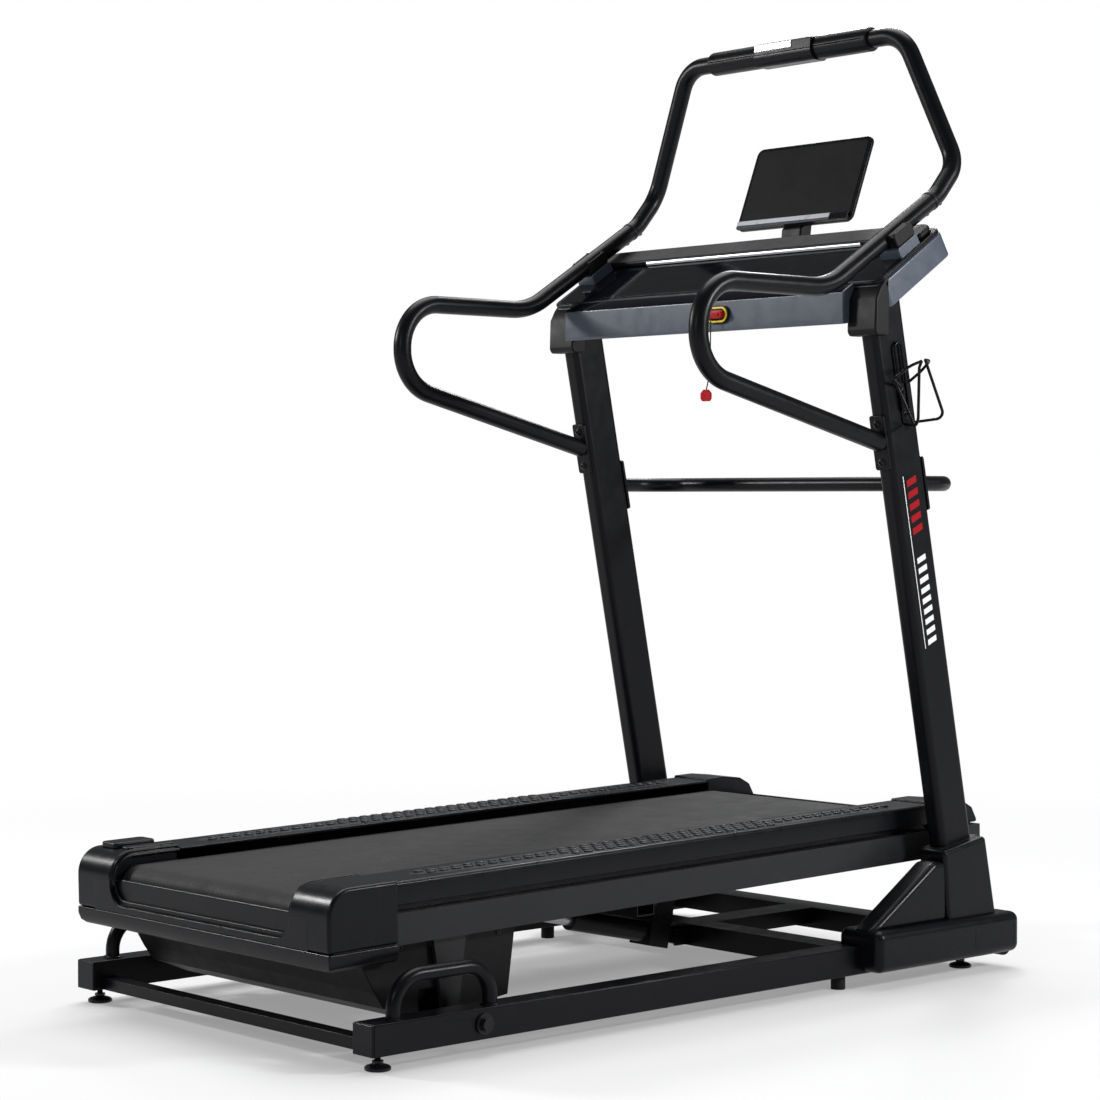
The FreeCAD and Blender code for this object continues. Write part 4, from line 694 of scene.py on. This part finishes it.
def clamps():
    for name, outline, material, *nodes in (
            ("lower", rounded_rectangle(110, -2, 170, 21.5, 5, 6), SLATE, "handlebar_clamps"),
            ("upper", rounded_rectangle(112, 22.3, 168, 46.5, 6, 6), MATTE)):
        made = prism("handlebar_clamps_" + name, both(outline, 378.5, 427.5), material, CONSOLE,
                     bevel=2.2, segments=4)
        keep(made, "frame", "slate_plastic", *nodes)
    mesh = bmesh.new()
    up = CONSOLE.to_3x3() @ Vector((0, 0, 1))
    for sign in (1, -1):
        for y in (119, 161):
            for x in (383.5, 422.5):
                add_screw(mesh, CONSOLE @ Vector((sign * x, y, 46.2)), up, (3.4, 2.6, 1.5),
                          (-1, 0.6, 1.4, 1.5, 0.4))
    keep(from_bmesh("handlebar_clamp_screws", mesh, BLACK_STEEL), "frame", "black_steel")


def tablet():
    ledge = [(-7, 1), (1, 1), (1, 9), (-4, 9), (-4, 17), (-7, 17)]
    keep_prisms("tablet_", TABLET, [
        ("plate", (rounded_rectangle(-152, 0, 152, 180, 15), 0, 8, "y"), SATIN, 1.8, 4,
         "black_plastic", "tablet_holder"),
        ("face", (rounded_rectangle(-144, 9, 144, 172, 10), -0.7, 0.1, "y"), MATTE, 0.3, 3,
         "gloss_black"),
        ("ledge", (ledge, -146, 146), SATIN, 1.3, 3, "black_plastic"),
        ("strip_upper", (rectangle(-7.8, 7.0, -6.8, 16.2), -145, 100), SILVER, 0.2, 3,
         "black_plastic"),
        ("strip_lower", (rectangle(-7.6, 2.2, -6.8, 6.2), -145, 100), SLATE, 0.2, 3,
         "black_plastic")])
    neck = [(574, 1360), (590, 1333), (646, 1336), (655, 1348), (668, 1438), (660, 1453),
            (641, 1407), (631, 1402), (628, 1372), (618, 1362)]
    keep(prism("tablet_neck", [(neck, -27, 27)], MATTE, bevel=5, segments=4), "frame",
         "black_plastic")
    mesh = bmesh.new()
    back = TABLET.to_3x3() @ Vector((0, 1, 0))
    for x in (-120, 120):
        for z in (24, 156):
            add_screw(mesh, TABLET @ Vector((x, 8, z)), back, (4.4, 3.2, 1.8),
                      (-1, 0.8, 1.8, 1.9, 0.7))
    keep(from_bmesh("tablet_back_screws", mesh, BLACK_STEEL), "frame", "black_steel")


KEY_X, KEY_Z = 58, 1218


def oval(half, radius, count=14):
    """The key's outline across X and Z: two half circles joined by straight runs."""
    return (arc((KEY_X + half - radius, KEY_Z), radius, -90, 90, count)
            + arc((KEY_X - half + radius, KEY_Z), radius, 90, 270, count))


def safety_key():
    keep_prisms("key_socket_", IDENTITY, [
        ("rim", (oval(30, 17), 366.5, 369.8, "y"), SATIN, 1.2, 3, "gloss_black", "key_socket"),
        ("ring", (oval(26.5, 14.6), 364.0, 367.0, "y"), YELLOW, 1.0, 3, "yellow_plastic"),
        ("recess", (oval(23.4, 11.2), 363.5, 366.0, "y"), MATTE, 0.5, 3, "black_plastic")])
    keep(prism("safety_key_moulded", [(oval(21.5, 7.4), 355, 364.6, "y")], RED, bevel=2.6,
               segments=5), "key_body", "red_plastic", "safety_key")
    ridge = [(oval(15, 3.4), 352.6, 356, "y")]
    for x in range(KEY_X - 11, KEY_X + 14, 5):
        ridge.append((rectangle(x, KEY_Z - 2.6, x + 2, KEY_Z + 2.6), 351.8, 353, "y"))
    keep(prism("safety_key_ridge", ridge, RED, bevel=0.7), "key_body", "red_plastic")


# ---- deck -------------------------------------------------------------------------------------
def deck_structure():
    refine(["deck_rail_left", "deck_rail_right"], RAIL, 1.2)
    refine(["deck_board"], WOOD, 0.8)
    refine(["deck_cushions"], RUBBER, 0.8)
    refine(["walking_belt"], BELT, 0.0)
    refine(["drive_roller", "front_roller", "roller_axles", "motor_rotor", "lift_rod"],
           STEEL, 0.0)
    refine(["drive_belt"], RUBBER, 0.0)
    refine(["controller_board", "console_board"], GREEN, 0.0)
    refine(["power_inlet"], SATIN, 0.6)
    refine(["power_switch"], RED, 0.6)


LEAF_LOW, LEAF_HIGH, LEAF_IN, LEAF_OUT = -50, 1105, 256, 328
LEAF_POINT, BUMP_PITCH = 0.3, 26


def leaf_share(t):
    """How much of its full width the ribbed strip has at a share t of its length."""
    return math.sin(math.pi * t) ** LEAF_POINT


def stripe_leaf(sign, steps=60):
    """The ribbed strip's outline on a foot rail, pointed at both ends."""
    def edge(t, side):
        across = 0.5 + side * 0.5 * leaf_share(t)
        return (sign * (LEAF_IN + (LEAF_OUT - LEAF_IN) * across),
                LEAF_LOW + (LEAF_HIGH - LEAF_LOW) * t)
    return ([edge(i / steps, 1) for i in range(steps + 1)]
            + [edge(1 - i / steps, -1) for i in range(1, steps)])


def stripe_bumps(sign):
    """Four staggered rows of bumps, as far as the leaf is wide enough for them."""
    bumps = []
    for row in range(4):
        across = LEAF_IN + 9 + row * (LEAF_OUT - LEAF_IN - 18) / 3
        off_middle = abs(across - (LEAF_IN + LEAF_OUT) / 2) + 5.5
        for i in range(int((LEAF_HIGH - LEAF_LOW) / BUMP_PITCH)):
            v = LEAF_LOW + (i + 0.5 + 0.5 * (row % 2)) * BUMP_PITCH
            t = (v - LEAF_LOW) / (LEAF_HIGH - LEAF_LOW)
            if not 0.01 < t < 0.99:
                continue
            if off_middle > (LEAF_OUT - LEAF_IN) * 0.5 * leaf_share(t) - 1:
                continue
            outline = rounded_rectangle(sign * across - 5, v - 8.5, sign * across + 5, v + 8.5,
                                        4.9, 4)
            bumps.append((outline, 229.2, 232.2, "z", DECK))
    return bumps


def foot_rails():
    section = [(243, 229), (336, 229), (340, 226), (341.2, 219), (340.4, 192), (336.4, 192),
               (336.2, 222), (332, 224.4), (243, 224.4)]
    inner_lip = rectangle(327, 181.4, 331, 225)
    for side, sign in SIDES:
        flip = DECK @ Matrix.Scale(sign, 4, (1, 0, 0))
        parts = [(section, -118, 1172, "y", flip), (inner_lip, -117, 1165, "y", flip)]
        keep(prism("foot_rail_%s_moulded" % side, parts, SATIN, bevel=1.6, segments=4), "deck",
             "black_plastic", "foot_rail_" + side)
        # the ribbed strip and its bumps take the lightened black plastic, a painted highlight
        pad = [(stripe_leaf(sign), 228.4, 229.5, "z", DECK)]
        keep(prism("foot_rail_%s_pad" % side, pad, RIB_PAINTED_HIGHLIGHT, bevel=0.5, angle=60), "deck",
             "black_plastic")
        keep(prism("foot_rail_%s_ribs" % side, stripe_bumps(sign), RIB_PAINTED_HIGHLIGHT, bevel=1.1), "deck",
             "black_plastic")


def quarter(v, w, back, rise, count=10):
    """A quarter of an ellipse from its top down to its rear end, without the first point."""
    return [(v - back * math.cos(a), w + rise * math.sin(a))
            for a in [math.pi / 2 * (1 - i / count) for i in range(1, count + 1)]]


def cover_wall(name, half, sill, radius, v_low, v_high):
    """The rear wall between the blocks, with the roller's opening cut down into it."""
    outline = ([(-300, 134), (300, 134), (300, 188), (half, 188)]
               + arc((half - radius, sill + radius), radius, 0, -90)
               + arc((-half + radius, sill + radius), radius, -90, -180)
               + [(-half, 188), (-300, 188)])
    keep(prism(name, [(outline, v_low, v_high, "y", DECK)], SATIN, bevel=1.8, segments=4),
         "deck", "black_plastic")


def rear_covers():
    profile = ([(-119, 134), (-119, 233), (-213, 233)] + quarter(-213, 189, 44, 44)
               + [(-257, 134)])
    keep(prism("rear_cover_blocks", both(profile, 250, 353, DECK), SATIN, bevel=6, segments=5),
         "deck", "black_plastic", "rear_cover")
    cover_wall("rear_cover_beam", 251, 146, 34, -257.2, -248)
    cover_wall("rear_cover_step", 245, 154, 28, -250, -244)
    sill = [(-244.6, 140), (-239, 140), (-239, 187), (-241.6, 189.4), (-245, 187)]
    keep(prism("rear_cover_sill", [(sill, -250, 250, "x", DECK)], SATIN, bevel=1.6), "deck",
         "black_plastic")
    lips = []
    for half, lift in ((251.4, 0.6), (246.5, -6)):
        ridge = ([(-119, 231 + lift), (-208, 231 + lift)] + quarter(-211, 187 + lift, 40, 44)
                 + [(-250, 180)])
        lips += [[DECK @ Vector((sign * half, v, w)) for v, w in ridge] for sign in (1, -1)]
    keep(tube("rear_cover_opening_lips", lips, 3.0, SATIN, 14), "deck", "black_plastic")

    mesh = bmesh.new()
    rings = []
    for half, v_low, w in ((352.6, -257, 133.4), (352.6, -257, 122), (349, -254, 111),
                           (340, -247, 104.4)):
        rings.append([mesh.verts.new(DECK @ Vector((x, v, w)))
                      for x, v in rectangle(-half, v_low, half, -119)])
    join_rings(mesh, rings)
    keep(from_bmesh("rear_cover_lower_shell", mesh, SATIN, bevel=2.5, segments=4), "deck",
         "black_plastic", "rear_cover_lower")
    mesh = bmesh.new()
    down = DECK.to_3x3() @ Vector((0, 0, -1))
    for x in (-300, -150, 0, 150, 300):
        add_screw(mesh, DECK @ Vector((x, -200, 104.3)), down, (4.4, 3.4, 1.8),
                  (0, 1.2, 2.2, 2.3, 1.0))
    keep(from_bmesh("rear_cover_screws", mesh, BLACK_STEEL), "deck", "black_steel")


def end_caps():
    outline = [(1166, 184), (1166, 233), (1214, 233), (1262, 227), (1288, 213), (1301, 190),
               (1301, 184)]
    # two small pads at the left rear corner, then the front corners on both sides
    parts = [(rounded_rectangle(-332, -222, -286, -139, 9), 232, 242.6, "z", DECK),
             (rounded_rectangle(-284, -214, -256, -121, 9), 231, 237.4, "z", DECK)]
    keep(prism("deck_end_caps_moulded", parts + both(outline, 243, 341, DECK), SATIN, bevel=4,
               segments=5), "deck", "black_plastic", "deck_end_caps")
    sheet = [(1096, 134), (1298, 134), (1304, 142), (1306, 180), (1300, 190), (1290, 192),
             (1290, 150), (1202, 146), (1096, 140)]
    keep(prism("front_sheet_moulded", [(sheet, -322, 322, "x", DECK)], SATIN, bevel=2), "deck",
         "black_plastic")


def pan_screws():
    refine(["motor_pan"], MATTE, 2.5, 3)
    plates = (both(rounded_rectangle(-60, 11, 25, 52, 4, 4), 306, 309, DECK)
              + both(rounded_rectangle(-30, 22, 8, 40, 4, 4), 309, 313, DECK))
    keep(prism("motor_pan_window_plates", plates, COAT, bevel=0.8), "deck", "black_plastic")
    mesh = bmesh.new()
    for sign in (1, -1):
        for v in (-95, -30, 40, 110):
            add_screw(mesh, DECK @ Vector((sign * 321.6, v, 122)), (sign, 0, 0),
                      (5.2, 4.2, 2.2), (0, 1.4, 2.6, 2.8, 1.4), 24)
    keep(from_bmesh("motor_pan_screws", mesh, BLACK_STEEL), "deck", "black_steel")


# ---- lanyard ----------------------------------------------------------------------------------
CORD_X, CORD_Y, CORD_Z = 51, 357, 1210.4
CORD_ROUTE = [(0, 0, 0), (0.6, -0.8, -14), (-0.4, -0.4, -40), (0.8, -1.6, -84),
              (-3, -3.4, -118), (-7, -5, -134)]


def lanyard():
    slider = bmesh.new()
    add_lathe(slider, [(1.6, 0), (3.4, 0), (4.0, 0.8), (4.0, 4.6), (3.4, 5.4), (3.4, 6.6),
                       (4.0, 7.4), (4.0, 11.2), (3.4, 12), (1.6, 12)],
              (CORD_X + 0.3, CORD_Y - 1.1, CORD_Z - 78), (0, 0, 1), 36)
    slider = keep(from_bmesh("lanyard_slider", slider, SATIN), "key_body", "black_plastic",
                  "lanyard_clip")
    x, y, z = (base + step for base, step in zip((CORD_X, CORD_Y, CORD_Z), CORD_ROUTE[-1]))
    outline = [(-5, 2), (5, 2), (12.4, -5), (12.4, -15), (8, -20), (-8, -20), (-12.4, -15),
               (-12.4, -5)]
    shell = [(x + a, z + b) for a, b in outline]
    parts = [(shell, y - 3.2, y - 0.5, "y"), (shell, y + 0.5, y + 3.2, "y"),
             (rectangle(x - 3.4, z - 9, x + 3.4, z - 4), y - 2.2, y + 2.2, "y")]
    jaw = keep(prism("lanyard_jaw", parts, RED, bevel=0.9), "key_body", "red_plastic")

    curve = bpy.data.curves.new("lanyard_cord_line", "CURVE")
    curve.dimensions = "3D"
    line = curve.splines.new("NURBS")
    line.points.add(len(CORD_ROUTE) - 1)
    for point, (x, y, z) in zip(line.points, CORD_ROUTE):
        point.co = ((CORD_X + x) * MM, (CORD_Y + y) * MM, (CORD_Z + z) * MM, 1)
    line.order_u = 3
    line.use_endpoint_u = True
    line.resolution_u = 12
    curve.bevel_depth = 1.2 * MM
    curve.bevel_resolution = 5
    curve.use_fill_caps = True
    curve.materials.append(CORD)
    rope = bpy.data.objects.new("lanyard_rope", curve)
    bpy.context.collection.objects.link(rope)
    keep(rope, "key_body", "cord_black", "lanyard_cord")


# ---- floor, light and camera ------------------------------------------------------------------
BACKDROP, AMBIENT, OVERHEAD = 1.0, 0.14, 3.2
OVERHEAD_SPREAD, OVERHEAD_TILT = 50, (-14, -16)             # degrees
FLOOR_SIZE, FLOOR_FADE, FLOOR_GLOW = 60, (1.9, 3.7), 0.3    # metres, metres, least share
LENS, SENSOR = 90.33, 36
VIEW_PLACE, VIEW_TILT, VIEW_TURN = (3.6875, -3.3287, 0.8759), 88.915, 47.943
# name, place, aim, power in watts, size
SOFTBOXES = [("rim", (-2.1, 3.1, 3.4), (0, 0, 0.5), 55, 0.8),
             ("key", (-3.4, -2.4, 2.6), (0, 0, 0.9), 130, 0.7),
             ("side", (3.6, 2.2, 2.2), (0, 0.2, 0.9), 140, 0.6),
             ("front", (1.6, -4.6, 2.4), (0, -0.2, 0.8), 26, 0.9)]


def studio():
    material, tree, shader = new_material("floor_paint")
    slow = noise(tree, 3.0, 4.0)
    tree.links.new(tinted(tree, slow, (0.57, 0.57, 0.58), (0.59, 0.59, 0.595)),
                   shader.inputs["Base Color"])
    shader.inputs["Roughness"].default_value = 0.5
    shader.inputs["Specular IOR Level"].default_value = 0.1
    # the floor turns into the white backdrop away from the treadmill
    coordinates = tree.nodes.new("ShaderNodeTexCoord")
    length = tree.nodes.new("ShaderNodeVectorMath")
    length.operation = "LENGTH"
    tree.links.new(coordinates.outputs["Object"], length.inputs[0])
    fade = tree.nodes.new("ShaderNodeMapRange")
    fade.interpolation_type = "SMOOTHSTEP"
    fade.inputs["From Min"].default_value, fade.inputs["From Max"].default_value = FLOOR_FADE
    fade.inputs["To Min"].default_value = FLOOR_GLOW
    tree.links.new(length.outputs["Value"], fade.inputs["Value"])
    glow, blend = tree.nodes.new("ShaderNodeEmission"), tree.nodes.new("ShaderNodeMixShader")
    tree.links.new(fade.outputs["Result"], blend.inputs["Fac"])
    tree.links.new(shader.outputs["BSDF"], blend.inputs[1])
    tree.links.new(glow.outputs["Emission"], blend.inputs[2])
    tree.links.new(blend.outputs["Shader"], tree.nodes["Material Output"].inputs["Surface"])
    bpy.ops.mesh.primitive_plane_add(size=FLOOR_SIZE, location=(0, 0, 0))
    floor = bpy.context.object
    floor.name = "floor"
    floor.data.materials.append(material)

    world = bpy.data.worlds.new("studio")
    world.use_nodes = True
    tree = world.node_tree
    seen, lit = tree.nodes["Background"], tree.nodes.new("ShaderNodeBackground")
    seen.inputs["Color"].default_value = (1.0, 1.0, 1.0, 1)
    seen.inputs["Strength"].default_value = BACKDROP
    lit.inputs["Color"].default_value = (0.96, 0.98, 1.0, 1)
    lit.inputs["Strength"].default_value = AMBIENT
    ray, mix = tree.nodes.new("ShaderNodeLightPath"), tree.nodes.new("ShaderNodeMixShader")
    tree.links.new(ray.outputs["Is Camera Ray"], mix.inputs["Fac"])
    tree.links.new(lit.outputs["Background"], mix.inputs[1])
    tree.links.new(seen.outputs["Background"], mix.inputs[2])
    tree.links.new(mix.outputs["Shader"], tree.nodes["World Output"].inputs["Surface"])
    bpy.context.scene.world = world
    bpy.context.scene.view_settings.view_transform = "Standard"

    sun = bpy.data.lights.new("overhead_light", "SUN")
    sun.energy, sun.angle = OVERHEAD, math.radians(OVERHEAD_SPREAD)
    lamp = bpy.data.objects.new("overhead_lamp", sun)
    bpy.context.collection.objects.link(lamp)
    lamp.rotation_euler = (*(math.radians(tilt) for tilt in OVERHEAD_TILT), 0)
    for name, place, aim, power, size in SOFTBOXES:
        data = bpy.data.lights.new(name + "_light", "AREA")
        data.shape, data.size, data.energy = "SQUARE", size, power
        lamp = bpy.data.objects.new(name + "_lamp", data)
        bpy.context.collection.objects.link(lamp)
        lamp.location = place
        lamp.rotation_euler = (Vector(aim) - Vector(place)).to_track_quat("-Z", "Y").to_euler()


def camera():
    data = bpy.data.cameras.new("view")
    data.lens, data.sensor_width = LENS, SENSOR
    made = bpy.data.objects.new("camera", data)
    bpy.context.collection.objects.link(made)
    made.location = VIEW_PLACE
    made.rotation_euler = (math.radians(VIEW_TILT), 0, math.radians(VIEW_TURN))
    bpy.context.scene.camera = made


base_frame()
boots()
uprights()
handrails()
arch()
cross_bar()
bottle_cage()
grip()
console()
clamps()
tablet()
safety_key()
lanyard()
deck_structure()
foot_rails()
rear_covers()
end_caps()
pan_screws()
studio()
camera()
